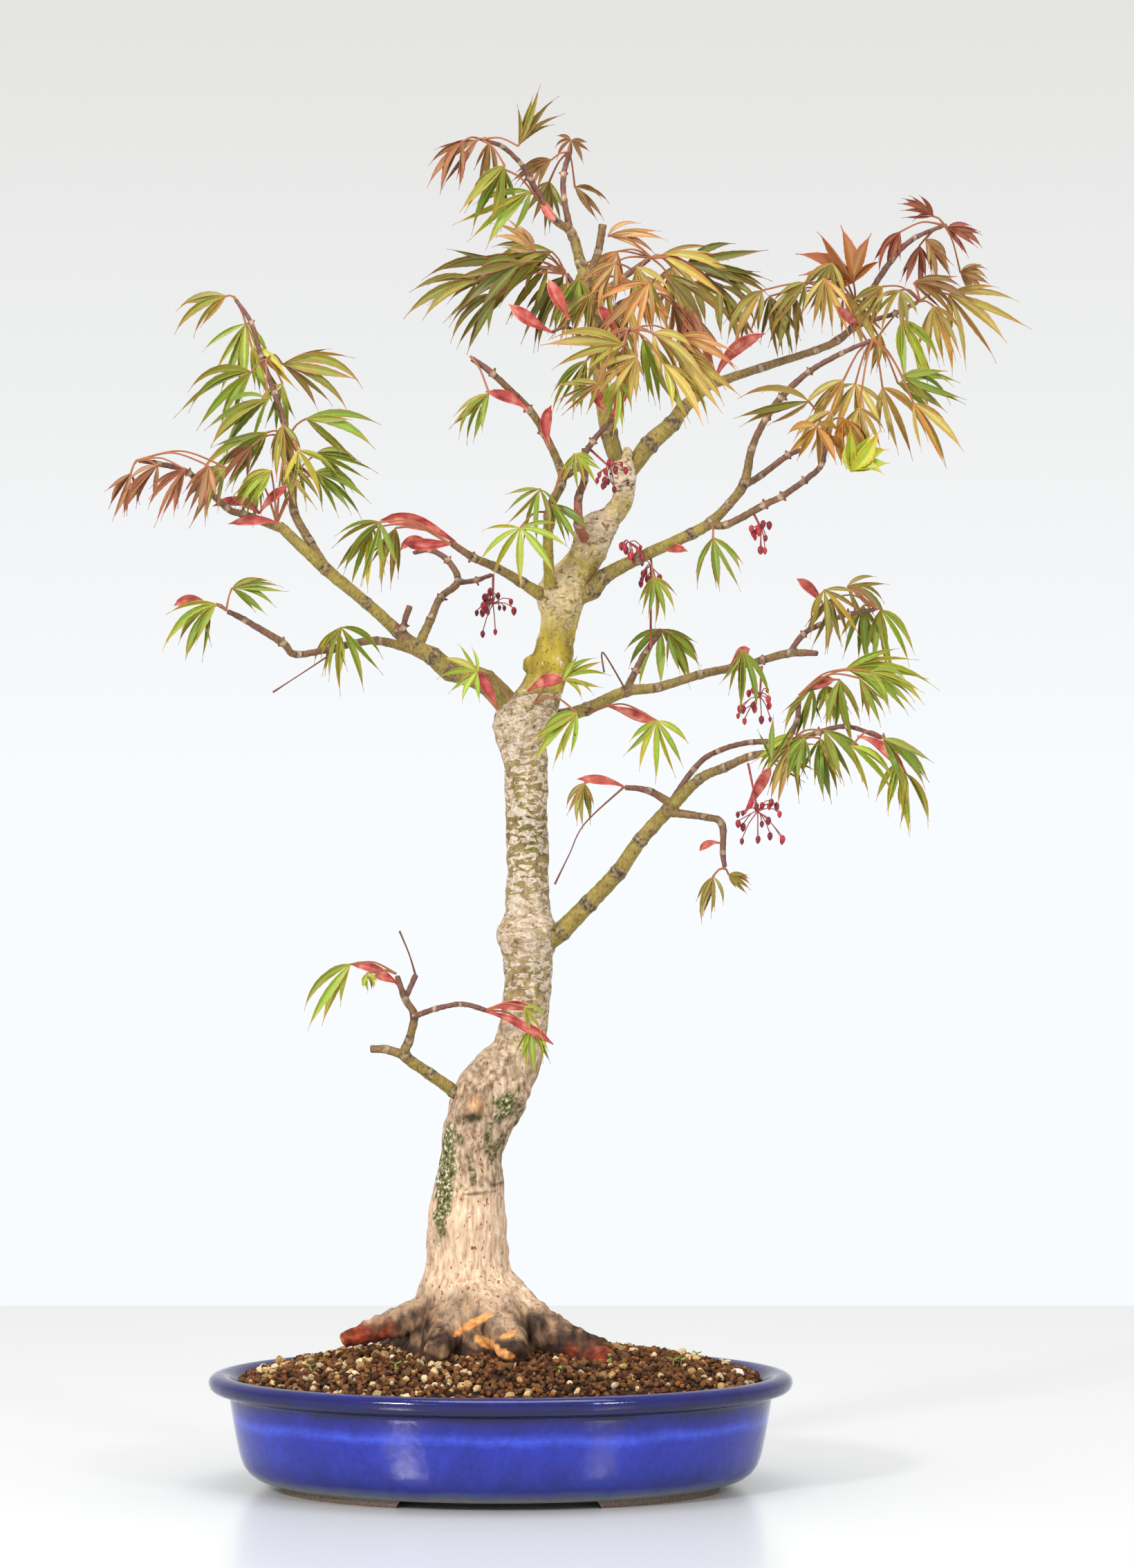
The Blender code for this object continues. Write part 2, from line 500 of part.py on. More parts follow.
# The trunk, and the same a gap larger, which cuts what touches it
trunk = fused("trunk", trunk_meshes(0), "bark")
trunk_tool = as_cutter(fused("trunk_tool", trunk_meshes(GAP), "bark", cutters))

# The soil fills the pot to the lip and rises to the trunk
mound = POT_HEIGHT + SOIL_MOUND
soil_profile = [
    (0, mound - 1), (half * 0.3, mound - 3), (half * 0.62, mound - 8),
    (half - LIP_WIDTH - 6, POT_HEIGHT - 1.5),
    (half - LIP_WIDTH - GAP - 0.4, POT_HEIGHT - 4.5), (wall_top - WALL - GAP, lip_under),
    (wall_top - WALL - 5 - GAP, FOOT_HEIGHT + FLOOR + 12),
    (wall_top - WALL - 13 - GAP, FOOT_HEIGHT + FLOOR + 3 + GAP),
    (foot_out - 12 - GAP, FOOT_HEIGHT + FLOOR + GAP), (0, FOOT_HEIGHT + FLOOR + GAP),
]
soil = turned("soil", soil_profile, "soil")
cut_all(soil, pockets + [trunk_tool])

# The limbs, each cut off a gap clear of the trunk
for limb_name, stems in LIMBS.items():
    rounds = [LIMB_ROUND if stem[0][3] > 3 else TWIG_ROUND for stem in stems]
    limb = fused(limb_name, [tube_mesh(stem, rounds[i]) for i, stem in enumerate(stems)], "twig")
    cut_all(limb, [trunk_tool])


def leaf_mesh(leaf, lobes=5):
    """A palmate leaf: a star of narrow lobes drawn flat, drooping back or forward at its tips."""
    x, y, z, lean, length, spread = leaf
    step = spread / (lobes - 1)
    side = math.copysign(1, math.sin(x * 1.7 + z))
    outline = []
    for lobe in range(lobes):
        angle = -spread / 2 + lobe * step
        reach = length * (1 - 0.35 * (abs(angle) / (spread / 2 + 1)) ** 2)
        outline.append((angle, reach))
        if lobe < lobes - 1:
            outline.append((angle + step / 2, 0.3 * length))
    outline.append((180, 0.1 * length))

    def place(angle, reach):
        turn = math.radians(lean + angle)
        forward = side * (0.35 * reach * math.sin(math.radians(angle)) + 0.12 * reach * reach / length)
        return stand(x + reach * math.cos(turn), y + forward, z + reach * math.sin(turn))

    work = bmesh.new()
    hub = work.verts.new(stand(x, y, z))
    rim = [work.verts.new(place(*point)) for point in outline]
    for here, there in zip(rim, rim[1:] + rim[:1]):
        work.faces.new((hub, here, there))
    thick = bmesh.ops.extrude_face_region(work, geom=work.faces[:], use_keep_orig=True)
    moved = [item for item in thick["geom"] if isinstance(item, bmesh.types.BMVert)]
    bmesh.ops.translate(work, verts=moved, vec=(0, LEAF_THICKNESS * MM, 0))
    bmesh.ops.translate(work, verts=work.verts, vec=(0, -LEAF_THICKNESS / 2 * MM, 0))
    bmesh.ops.recalc_face_normals(work, faces=work.faces)
    mesh = bpy.data.meshes.new("leaf")
    work.to_mesh(mesh)
    work.free()
    return mesh


def petiole_mesh(base, leaf):
    """The stalk from the bud to the leaf."""
    return tube_mesh([(*base, PETIOLE_RADIUS * 1.3), (*leaf[:3], PETIOLE_RADIUS)], PETIOLE_ROUND)


def knob_mesh(base, radius):
    work = bmesh.new()
    bmesh.ops.create_icosphere(work, subdivisions=1, radius=radius * MM)
    bmesh.ops.translate(work, verts=work.verts, vec=stand(*base))
    mesh = bpy.data.meshes.new("knob")
    work.to_mesh(mesh)
    work.free()
    return mesh


wood_tools = []
for wood_name, stems in LIMBS.items():
    meshes = [tube_mesh(stem, LIMB_ROUND if stem[0][3] > 3 else TWIG_ROUND, GAP) for stem in stems]
    wood_tools.append(as_cutter(fused(f"{wood_name}_tool", meshes, "twig", cutters)))
wood_tools.append(trunk_tool)


def near_tools(base):
    """The wood that a piece on this base could touch: the one whose surface is nearest."""
    place = stand(*base)
    reach = {tool: (tool.closest_point_on_mesh(place)[1] - place).length for tool in wood_tools}
    return [tool for tool in wood_tools if reach[tool] < 0.006]


# The sprays: a bud on the twig, a petiole to each leaf
for spray_name, (base, leaves) in SPRAYS.items():
    meshes = [knob_mesh(base, BUD_RADIUS)]
    for leaf in leaves:
        meshes.append(petiole_mesh(base, leaf))
        meshes.append(leaf_mesh(leaf))
    spray = fused(spray_name, meshes, "leaf")
    cut_all(spray, near_tools(base))


def strap_mesh(points):
    """A bud scale: a strap that is widest in its middle, curved along its points."""
    (x0, y0, z0), (x1, y1, z1), (x2, y2, z2) = points
    work = bmesh.new()
    rows = []
    for step in range(5):
        t = step / 4
        a, b, c = (1 - t) ** 2, 2 * t * (1 - t), t * t
        x, y, z = (a * p + b * q + c * r for p, q, r in ((x0, x1, x2), (y0, y1, y2), (z0, z1, z2)))
        wide = SCALE_WIDTH / 2 * (0.3 + 0.7 * math.sin(math.pi * min(1, 0.15 + 0.8 * t)))
        run = math.atan2(z2 - z0, x2 - x0)
        across = (-math.sin(run) * wide, math.cos(run) * wide)
        rows.append([work.verts.new(stand(x + k * across[0], y, z + k * across[1])) for k in (-1, 1)])
    for low, high in zip(rows, rows[1:]):
        work.faces.new((low[0], low[1], high[1], high[0]))
    thick = bmesh.ops.extrude_face_region(work, geom=work.faces[:], use_keep_orig=True)
    moved = [item for item in thick["geom"] if isinstance(item, bmesh.types.BMVert)]
    bmesh.ops.translate(work, verts=moved, vec=(0, SCALE_THICKNESS * MM, 0))
    bmesh.ops.translate(work, verts=work.verts, vec=(0, -SCALE_THICKNESS / 2 * MM, 0))
    bmesh.ops.recalc_face_normals(work, faces=work.faces)
    mesh = bpy.data.meshes.new("strap")
    work.to_mesh(mesh)
    work.free()
    return mesh


for scales_name, straps in SCALES.items():
    base = straps[0][0]
    scales = fused(scales_name, [knob_mesh(base, 2.2)] + [strap_mesh(strap) for strap in straps], "scale")
    cut_all(scales, near_tools(base))

# The flowers: a stalk, and pedicels that hang from its end with a bud on each
PEDICELS = 5
for flowers_name, (base, middle, half_width) in FLOWERS.items():
    x, y, z = middle
    top = (x, y, z + half_width * 0.9)
    stalk = tube_mesh([(*base, 1.0), (*top, 0.9)], PETIOLE_ROUND)
    meshes = [knob_mesh(base, 1.6), stalk, knob_mesh(top, 1.4)]
    for pedicel in range(PEDICELS):
        turn = math.tau * pedicel / PEDICELS + 0.4
        reach = half_width * (0.75 + 0.25 * (pedicel % 2))
        drop = half_width * (0.2 + 0.5 * (pedicel % 3) / 2)
        end = (x + reach * math.cos(turn), y + reach * math.sin(turn), z - drop)
        meshes.append(tube_mesh([(*top, 0.7), (*end, 0.7)], PETIOLE_ROUND))
        meshes.append(knob_mesh(end, 2.0))
    flowers = fused(flowers_name, meshes, "flower")
    cut_all(flowers, near_tools(base))

for piece in list(parts.objects):
    if piece.type == "MESH":
        piece.data.shade_smooth()
        piece.data.set_sharp_from_angle(angle=math.radians(40))
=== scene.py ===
import math
import random

import bmesh
import bpy
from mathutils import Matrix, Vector, noise
from mathutils.kdtree import KDTree


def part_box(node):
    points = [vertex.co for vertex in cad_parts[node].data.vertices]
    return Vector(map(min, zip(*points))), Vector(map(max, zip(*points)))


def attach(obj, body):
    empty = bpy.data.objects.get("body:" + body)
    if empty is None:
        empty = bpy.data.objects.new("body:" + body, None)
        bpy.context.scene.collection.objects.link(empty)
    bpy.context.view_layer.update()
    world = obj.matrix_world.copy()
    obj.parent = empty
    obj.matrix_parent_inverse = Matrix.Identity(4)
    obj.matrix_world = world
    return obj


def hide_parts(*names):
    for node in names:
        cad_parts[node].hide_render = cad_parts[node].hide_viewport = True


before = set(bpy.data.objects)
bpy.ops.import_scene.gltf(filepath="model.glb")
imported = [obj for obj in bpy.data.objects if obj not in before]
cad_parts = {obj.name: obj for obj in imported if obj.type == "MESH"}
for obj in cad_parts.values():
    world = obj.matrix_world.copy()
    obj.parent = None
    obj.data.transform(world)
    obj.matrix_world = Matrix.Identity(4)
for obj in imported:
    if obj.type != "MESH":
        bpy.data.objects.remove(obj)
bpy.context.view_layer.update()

# ---- Camera -------------------------------------------------------------------------------
# A long lens, level, 2.6 m in front of the trunk and a little right of the pot's middle.
pot_low, pot_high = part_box("pot")
POT_X = (pot_low[0] + pot_high[0]) / 2
MM = 0.001
EYE_X = 34.0
EYE_Z = 360.5
EYE_DISTANCE = 2600.0


def set_down(name, data):
    """An object made from its data and linked into the scene."""
    made = bpy.data.objects.new(name, data)
    bpy.context.scene.collection.objects.link(made)
    return made


camera_data = bpy.data.cameras.new("camera")
camera_data.lens = 116.25
camera_data.sensor_width = 36
camera = set_down("camera", camera_data)
camera.location = (POT_X + EYE_X * MM, -EYE_DISTANCE * MM, EYE_Z * MM)
camera.rotation_euler = (math.radians(90), 0, 0)
bpy.context.scene.camera = camera
bpy.context.scene.view_settings.view_transform = "Standard"

# ---- Studio -------------------------------------------------------------------------------
# A pale glossy table whose far edge is 0.9 m behind the pot, in a white room, lit by soft boxes
# from the front left, from the right and, the largest of them, from above.
TABLE_HALF_WIDTH = 4.0
TABLE_BACK = 0.9
TABLE_FRONT = -6.0
LIT_MIDDLE = Vector((0, 0, 0.3))
world = bpy.data.worlds.new("white_room")
bpy.context.scene.world = world
world.use_nodes = True
sky = world.node_tree
sky_shader = sky.nodes["Background"]
sky_place = sky.nodes.new("ShaderNodeTexCoord")
sky_axes = sky.nodes.new("ShaderNodeSeparateXYZ")
sky_ramp = sky.nodes.new("ShaderNodeValToRGB")
sky_ramp.color_ramp.elements[0].position = 0.0
sky_ramp.color_ramp.elements[0].color = (0.95, 0.975, 1.0, 1)
sky_ramp.color_ramp.elements[1].position = 0.16
sky_ramp.color_ramp.elements[1].color = (0.77, 0.765, 0.745, 1)
sky.links.new(sky_place.outputs["Generated"], sky_axes.inputs[0])
sky.links.new(sky_axes.outputs["Z"], sky_ramp.inputs[0])
sky.links.new(sky_ramp.outputs[0], sky_shader.inputs["Color"])
sky_shader.inputs["Strength"].default_value = 1.0


def mesh_from(work, name):
    """The mesh that a finished bmesh holds."""
    mesh = bpy.data.meshes.new(name)
    work.to_mesh(mesh)
    work.free()
    return mesh


table_work = bmesh.new()
bmesh.ops.create_grid(table_work, x_segments=1, y_segments=1, size=1)
for vert in table_work.verts:
    vert.co = (vert.co.x * TABLE_HALF_WIDTH, TABLE_BACK if vert.co.y > 0 else TABLE_FRONT, 0)
table = set_down("table", mesh_from(table_work, "table"))
table_white = bpy.data.materials.new("table_white")
table_white.use_nodes = True
table_shader = table_white.node_tree.nodes["Principled BSDF"]
table_shader.inputs["Base Color"].default_value = (0.76, 0.775, 0.79, 1)
table_shader.inputs["Roughness"].default_value = 0.22
table.data.materials.append(table_white)


def soft_box(name, place, size, power, colour):
    """A rectangular soft light that faces the tree; its size in metres and its power in watts."""
    light = bpy.data.lights.new(name, "AREA")
    light.shape = "RECTANGLE"
    light.size, light.size_y = size
    light.energy = power
    light.color = colour
    lamp = set_down(name, light)
    lamp.location = place
    lamp.rotation_euler = (Vector(place) - LIT_MIDDLE).to_track_quat("Z", "Y").to_euler()


soft_box("soft_box_left", (-1.3, -1.9, 1.15), (0.34, 0.26), 36, (1.0, 0.98, 0.95))
soft_box("soft_box_right", (1.5, -2.1, 1.3), (0.4, 0.3), 18, (0.97, 0.99, 1.0))
soft_box("soft_box_top", (0.1, -0.3, 2.3), (1.4, 1.0), 20, (1.0, 1.0, 1.0))

# ---- Pot ----------------------------------------------------------------------------------
# A wheel-thrown stoneware oval, 300 by 228 mm, with a rolled lip and four bracket feet, dipped
# in cobalt glaze down to the foot line; the feet and the underside are bare grey-brown clay.
POT_LENGTH = 300.0
POT_WIDTH = 228.0
FOOT_HEIGHT = 4.0
POT_STEPS = 160
CRISP_ANGLE = math.radians(50)
pot_profile = [
    (0.0, 11.0), (60, 11.0), (104, 11.0), (112, 11.6), (119.9, 14), (125, 18.5), (127.9, 23), (131, 35),
    (132.9, 48), (134.6, 52.5), (136.5, 55), (139.2, 57.4), (143, 58.5), (147, 57.9), (149.4, 56.2),
    (150, 54.2), (149.4, 51.4), (147.4, 49.5), (144, 48.6), (140.8, 48.1), (139.4, 46.8), (138.8, 44),
    (137.6, 36), (136, 27), (134, 17), (132, 12), (129.4, 8.4), (126, 5.8), (121.4, 4.2), (118.6, 3.4),
    (117.4, 1.2), (116.4, 0), (103, 0), (101.6, 1), (100.5, 4), (60, 4), (0, 4),
]
pot_work = bmesh.new()
pot_verts = [pot_work.verts.new((radius * MM, 0, height * MM)) for radius, height in pot_profile]
pot_edges = [pot_work.edges.new(pair) for pair in zip(pot_verts, pot_verts[1:])]
bmesh.ops.subdivide_edges(pot_work, edges=pot_edges, cuts=2, smooth=0.0)
bmesh.ops.spin(pot_work, geom=pot_work.verts[:] + pot_work.edges[:], cent=(0, 0, 0), axis=(0, 0, 1),
               angle=math.tau, steps=POT_STEPS, use_merge=True)
bmesh.ops.remove_doubles(pot_work, verts=pot_work.verts, dist=0.00002)
bmesh.ops.scale(pot_work, verts=pot_work.verts, vec=(1, POT_WIDTH / POT_LENGTH, 1))
wall_verts = [vert for vert in pot_work.verts if vert.co.z > 0.0125 and vert.co.xy.length > 0.09]
for smoothing in range(2):
    bmesh.ops.smooth_vert(pot_work, verts=wall_verts, factor=0.5, use_axis_x=True, use_axis_y=True,
                          use_axis_z=True)
bmesh.ops.translate(pot_work, verts=pot_work.verts, vec=(POT_X, 0, 0))
bmesh.ops.recalc_face_normals(pot_work, faces=pot_work.faces)
pot_mesh = mesh_from(pot_work, "glazed_pot")


def linear(red, green, blue):
    """A colour given as it looks on a screen, 0 to 255, as the linear one that a shader takes."""
    shown = (channel / 255 for channel in (red, green, blue))
    return tuple(c / 12.92 if c <= 0.04045 else ((c + 0.055) / 1.055) ** 2.4 for c in shown)


def new_material(name, roughness):
    """A material, its node tree and its shader."""
    made = bpy.data.materials.new(name)
    made.use_nodes = True
    shader = made.node_tree.nodes["Principled BSDF"]
    shader.inputs["Roughness"].default_value = roughness
    return made, made.node_tree, shader


def node(tree, kind, **values):
    """A node with these values given to its inputs or its own settings."""
    made = tree.nodes.new(kind)
    for key, value in values.items():
        if key in made.inputs:
            made.inputs[key].default_value = value
        else:
            setattr(made, key, value)
    return made


def ramp(tree, source, stops):
    """Colours by a source's value, as stops of a position and a colour."""
    made = tree.nodes.new("ShaderNodeValToRGB")
    elements = made.color_ramp.elements
    while len(elements) < len(stops):
        elements.new(0.5)
    for element, (position, colour) in zip(elements, stops):
        element.position = position
        element.color = (*colour, 1)
    tree.links.new(source, made.inputs[0])
    return made.outputs[0]


def feed(tree, socket, value):
    """Links another node's socket to this one, or sets the value it is given."""
    if isinstance(value, bpy.types.NodeSocket):
        tree.links.new(value, socket)
    else:
        socket.default_value = value


def sum_of(tree, operation, *values):
    """A sum worked out by a math node, from sockets or numbers."""
    made = node(tree, "ShaderNodeMath", operation=operation)
    for socket, value in zip(made.inputs, values):
        feed(tree, socket, value)
    return made.outputs[0]


def mix(tree, factor, first, second, blend="MIX"):
    """A colour mix; factor, first and second are sockets or values."""
    made = node(tree, "ShaderNodeMix", data_type="RGBA", blend_type=blend)
    for index, value in ((0, factor), (6, first), (7, second)):
        feed(tree, made.inputs[index], (*value, 1) if isinstance(value, tuple) else value)
    return made.outputs[2]


def times(tree, first, second):
    """One colour multiplied by another."""
    return mix(tree, 1.0, first, second, "MULTIPLY")


def grain_group():
    """Noise over the object's own coordinates, stretched as asked, as a value from 0 to 1."""
    group = bpy.data.node_groups.new("grain", "ShaderNodeTree")
    for name, kind, value in (("Scale", "NodeSocketFloat", 100.0), ("Detail", "NodeSocketFloat", 4.0),
                              ("Stretch", "NodeSocketVector", (1, 1, 1)),
                              ("Distortion", "NodeSocketFloat", 0.0)):
        group.interface.new_socket(name, in_out="INPUT", socket_type=kind).default_value = value
    group.interface.new_socket("Value", in_out="OUTPUT", socket_type="NodeSocketFloat")
    given = group.nodes.new("NodeGroupInput")
    result = group.nodes.new("NodeGroupOutput")
    place = group.nodes.new("ShaderNodeTexCoord")
    stretched = group.nodes.new("ShaderNodeVectorMath")
    stretched.operation = "MULTIPLY"
    texture = group.nodes.new("ShaderNodeTexNoise")
    group.links.new(place.outputs["Object"], stretched.inputs[0])
    group.links.new(given.outputs["Stretch"], stretched.inputs[1])
    group.links.new(stretched.outputs[0], texture.inputs["Vector"])
    for name in ("Scale", "Detail", "Distortion"):
        group.links.new(given.outputs[name], texture.inputs[name])
    group.links.new(texture.outputs["Fac"], result.inputs["Value"])
    return group


GRAIN = grain_group()


def noise_of(tree, scale, detail=4.0, stretch=(1, 1, 1), distortion=0.0):
    """The grain group placed in a material with its own settings."""
    made = node(tree, "ShaderNodeGroup", node_tree=GRAIN, Scale=scale, Detail=detail, Stretch=stretch,
                Distortion=distortion)
    return made.outputs["Value"]


def grained(tree, stops, *grain):
    """Colours that follow the grain; what comes after the stops is the grain's own settings."""
    return ramp(tree, noise_of(tree, *grain), stops)


def bump_from(tree, shader, height, distance, strength=1.0):
    """Fine relief on a finish, its distance in metres."""
    made = node(tree, "ShaderNodeBump", Strength=strength, Distance=distance)
    tree.links.new(height, made.inputs["Height"])
    tree.links.new(made.outputs[0], shader.inputs["Normal"])


def attribute(tree, name, output="Color"):
    """What a mesh carries on its vertices under this name."""
    made = tree.nodes.new("ShaderNodeAttribute")
    made.attribute_name = name
    return made.outputs[output]


def piece_from(name, mesh, material, nodes=(), smooth=True, crisp=False):
    """A finished piece: its mesh and material, the CAD nodes it stands for, and how it is shaded."""
    made = set_down(name, mesh)
    mesh.materials.clear()
    mesh.materials.append(material)
    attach(made, "root")
    if nodes:
        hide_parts(*nodes)
    if smooth:
        mesh.shade_smooth()
    else:
        mesh.shade_flat()
    if crisp:
        mesh.set_sharp_from_angle(angle=CRISP_ANGLE)


def finished_mesh(thing):
    """The mesh of a helper object as its modifiers leave it; the helper is then taken away."""
    shown = thing.evaluated_get(bpy.context.evaluated_depsgraph_get())
    mesh = bpy.data.meshes.new_from_object(shown)
    bpy.data.objects.remove(thing, do_unlink=True)
    return mesh


def cut_box(name, low, high, top_inset):
    """A box that cuts the foot ring, its two ends drawn in at the top; all in mm."""
    work = bmesh.new()
    bmesh.ops.create_cube(work, size=1)
    for vert in work.verts:
        up = vert.co.z > 0
        for axis in range(3):
            vert.co[axis] = (high if vert.co[axis] > 0 else low)[axis] * MM
        if up:
            vert.co.x -= math.copysign(top_inset * MM, vert.co.x)
    bmesh.ops.translate(work, verts=work.verts, vec=(POT_X, 0, 0))
    return set_down(name, mesh_from(work, name))


def cut_hole(name, x):
    """A 20 mm drill through the pot's floor, x mm from its middle."""
    work = bmesh.new()
    bmesh.ops.create_cone(work, cap_ends=True, segments=40, radius1=0.010, radius2=0.010, depth=0.014)
    bmesh.ops.translate(work, verts=work.verts, vec=(POT_X + x * MM, 0, 0.0075))
    return set_down(name, mesh_from(work, name))


pot_tools = [
    cut_box("gap_front", (-52, -130, -1), (52, 130, FOOT_HEIGHT - 0.02), 3),
    cut_box("gap_side", (-160, -30, -1), (160, 30, FOOT_HEIGHT - 0.02), 0),
    cut_hole("drain_left", -70), cut_hole("drain_right", 70),
]
pot_body = set_down("pot_body", pot_mesh)
for tool in pot_tools:
    cut = pot_body.modifiers.new("cut", "BOOLEAN")
    cut.operation = "DIFFERENCE"
    cut.object = tool
pot_mesh = finished_mesh(pot_body)
for tool in pot_tools:
    bpy.data.objects.remove(tool, do_unlink=True)

BANDS_BOTTOM = 0.004
BANDS_TOP = 0.0665
GLAZE_WANDER = 0.008
FOOT_LINE_WANDER = 0.0022
glaze, tree, shader = new_material("cobalt_glaze", 0.09)
place = node(tree, "ShaderNodeTexCoord")
axes = node(tree, "ShaderNodeSeparateXYZ")
tree.links.new(place.outputs["Object"], axes.inputs[0])
height = sum_of(tree, "MULTIPLY_ADD", noise_of(tree, 26, 3), GLAZE_WANDER, axes.outputs["Z"])
level = node(tree, "ShaderNodeMapRange")
level.inputs["From Min"].default_value = BANDS_BOTTOM
level.inputs["From Max"].default_value = BANDS_TOP
tree.links.new(height, level.inputs["Value"])
# Glaze colour by height. The near-black stop at 0.775 falls on the underside of the rolled lip and the
# groove below it: painted shade under the lip.
glaze_bands_and_lip_shade = ramp(tree, level.outputs[0], [
    (0.0, linear(16, 22, 60)), (0.10, linear(18, 26, 104)), (0.34, linear(24, 38, 148)),
    (0.52, linear(26, 40, 160)), (0.575, linear(50, 72, 200)), (0.64, linear(24, 34, 146)),
    (0.74, linear(16, 20, 104)), (0.775, linear(6, 7, 30)), (0.83, linear(10, 12, 78)),
    (0.93, linear(16, 20, 104)), (1.0, linear(54, 70, 170))])
mottle = grained(tree, [(0.3, (0.72, 0.74, 0.8)), (0.7, (1.15, 1.14, 1.1))], 340, 5)
cloud = grained(tree, [(0.3, (0.7, 0.72, 0.8)), (0.7, (1.2, 1.2, 1.12))], 60, 3)
blue = times(tree, times(tree, glaze_bands_and_lip_shade, mottle), cloud)
clay_grain = grained(tree, [(0.3, linear(88, 74, 68)), (0.7, linear(140, 120, 108))], 900)
foot_line = sum_of(tree, "MULTIPLY_ADD", noise_of(tree, 90, 2), FOOT_LINE_WANDER, axes.outputs["Z"])
glazed = ramp(tree, foot_line, [(0.0051, (0, 0, 0)), (0.0054, (1, 1, 1))])
edge = ramp(tree, foot_line, [(0.0066, (0, 0, 0)), (0.0084, (1, 1, 1))])
grey_edge = mix(tree, edge, linear(120, 134, 128), blue)
sheen = ramp(tree, foot_line, [(0.0051, (0.8, 0.8, 0.8)), (0.0056, (0.12, 0.12, 0.12))])
tree.links.new(mix(tree, glazed, clay_grain, grey_edge), shader.inputs["Base Color"])
tree.links.new(sheen, shader.inputs["Roughness"])
bump_from(tree, shader, noise_of(tree, 130, 3), 0.0006, 0.35)
piece_from("glazed_pot", pot_mesh, glaze, ["pot"], crisp=True)

# ---- Drainage mesh ------------------------------------------------------------------------
# A square of moulded black net over each drain hole, held down by the soil. The CAD pieces
# stay and only get their plastic.
net_plastic, tree, shader = new_material("net_plastic", 0.55)
black = grained(tree, [(0.3, (0.02, 0.02, 0.02)), (0.7, (0.05, 0.05, 0.05))], 400, 2)
tree.links.new(black, shader.inputs["Base Color"])
bump_from(tree, shader, noise_of(tree, 900, 2), 0.0002, 0.4)
for side in ("left", "right"):
    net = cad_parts[f"drainage_mesh_{side}"]
    net.data.materials.clear()
    net.data.materials.append(net_plastic)

# ---- Soil ---------------------------------------------------------------------------------
# Granules of baked clay 1.5 to 4 mm across, with some cream pumice, heaped to the trunk. They
# are a bumpy mound that fills the pot, with loose granules bedded all over its top.
SOIL_TOP = 71.5
RIM_SOIL = 55.0
TRUNK_FOOT = (-14.0, 0.0)
SOIL_REACH = (134.5, 102.2)
SOIL_RINGS = 44


def soil_height(x, y):
    """The mound's height in mm at a place from the pot's middle, in mm."""
    out = min(1.0, math.hypot(x / SOIL_REACH[0], y / SOIL_REACH[1]))
    bumps = noise.noise(Vector((x, y, 3.0)) * 0.045) * 1.8 * min(1, (1 - out) * 8)
    return RIM_SOIL + (SOIL_TOP - RIM_SOIL) * (1 - out ** 2.6) + bumps


soil_work = bmesh.new()
bmesh.ops.create_circle(soil_work, cap_ends=False, segments=120, radius=1)
bmesh.ops.scale(soil_work, verts=soil_work.verts, vec=(SOIL_REACH[0] * MM, SOIL_REACH[1] * MM, 1))
rim_edges = soil_work.edges[:]
for ring in range(SOIL_RINGS):
    grown = bmesh.ops.extrude_edge_only(soil_work, edges=rim_edges)["geom"]
    rim_edges = [item for item in grown if isinstance(item, bmesh.types.BMEdge)]
    ring_verts = [item for item in grown if isinstance(item, bmesh.types.BMVert)]
    rings_left = SOIL_RINGS + 0.4 - ring
    shrink = (rings_left - 1) / rings_left
    bmesh.ops.scale(soil_work, verts=ring_verts, vec=(shrink, shrink, 1))
bmesh.ops.holes_fill(soil_work, edges=rim_edges)
for vert in soil_work.verts:
    vert.co.z = soil_height(vert.co.x / MM, vert.co.y / MM) * MM - 0.0012
    vert.co.z += noise.noise(vert.co * 420) * 0.0011
lower = bmesh.ops.extrude_face_region(soil_work, geom=soil_work.faces[:], use_keep_orig=True)["geom"]
for vert in (item for item in lower if isinstance(item, bmesh.types.BMVert)):
    vert.co = (vert.co.x * 0.9, vert.co.y * 0.9, 0.0142)
bmesh.ops.translate(soil_work, verts=soil_work.verts, vec=(POT_X, 0, 0))
bmesh.ops.recalc_face_normals(soil_work, faces=soil_work.faces)
soil_mesh = mesh_from(soil_work, "soil_bed")

earth, tree, shader = new_material("baked_clay", 0.92)
shader.inputs["Specular IOR Level"].default_value = 0.25
pits = grained(tree, [(0.3, (0.55, 0.52, 0.5)), (0.62, (1.2, 1.16, 1.1))], 1100)
tree.links.new(times(tree, attribute(tree, "granule"), pits), shader.inputs["Base Color"])
bump_from(tree, shader, noise_of(tree, 1500, 3), 0.0004, 0.7)


def paint(mesh, name, colours):
    """A colour attribute over a mesh's vertices, from one flat list of channels."""
    mesh.color_attributes.new(name, "FLOAT_COLOR", "POINT").data.foreach_set("color", colours)


# The bed under the loose granules is painted a darker brown than most of them: painted shade for the gaps
# between the granules.
paint(soil_mesh, "granule", [*linear(52, 34, 26), 1.0] * len(soil_mesh.vertices))
piece_from("soil_bed", soil_mesh, earth, ["soil"])

GRANULE_CLAYS = [(104, 66, 38), (124, 80, 44), (84, 52, 30), (140, 94, 54), (62, 40, 26), (112, 80, 52)]
GRANULE_PUMICE = [(206, 178, 130), (188, 150, 100), (222, 202, 164)]
GRANULES_A_SIDE = 2940
GRANULE_SIZES = (1.4, 3.9, 2.2)  # smallest, largest and commonest
PUMICE_LEFT = 0.11
PUMICE_RIGHT = 0.045
BATCH = 60
BARE_ROUND_TRUNK = 31


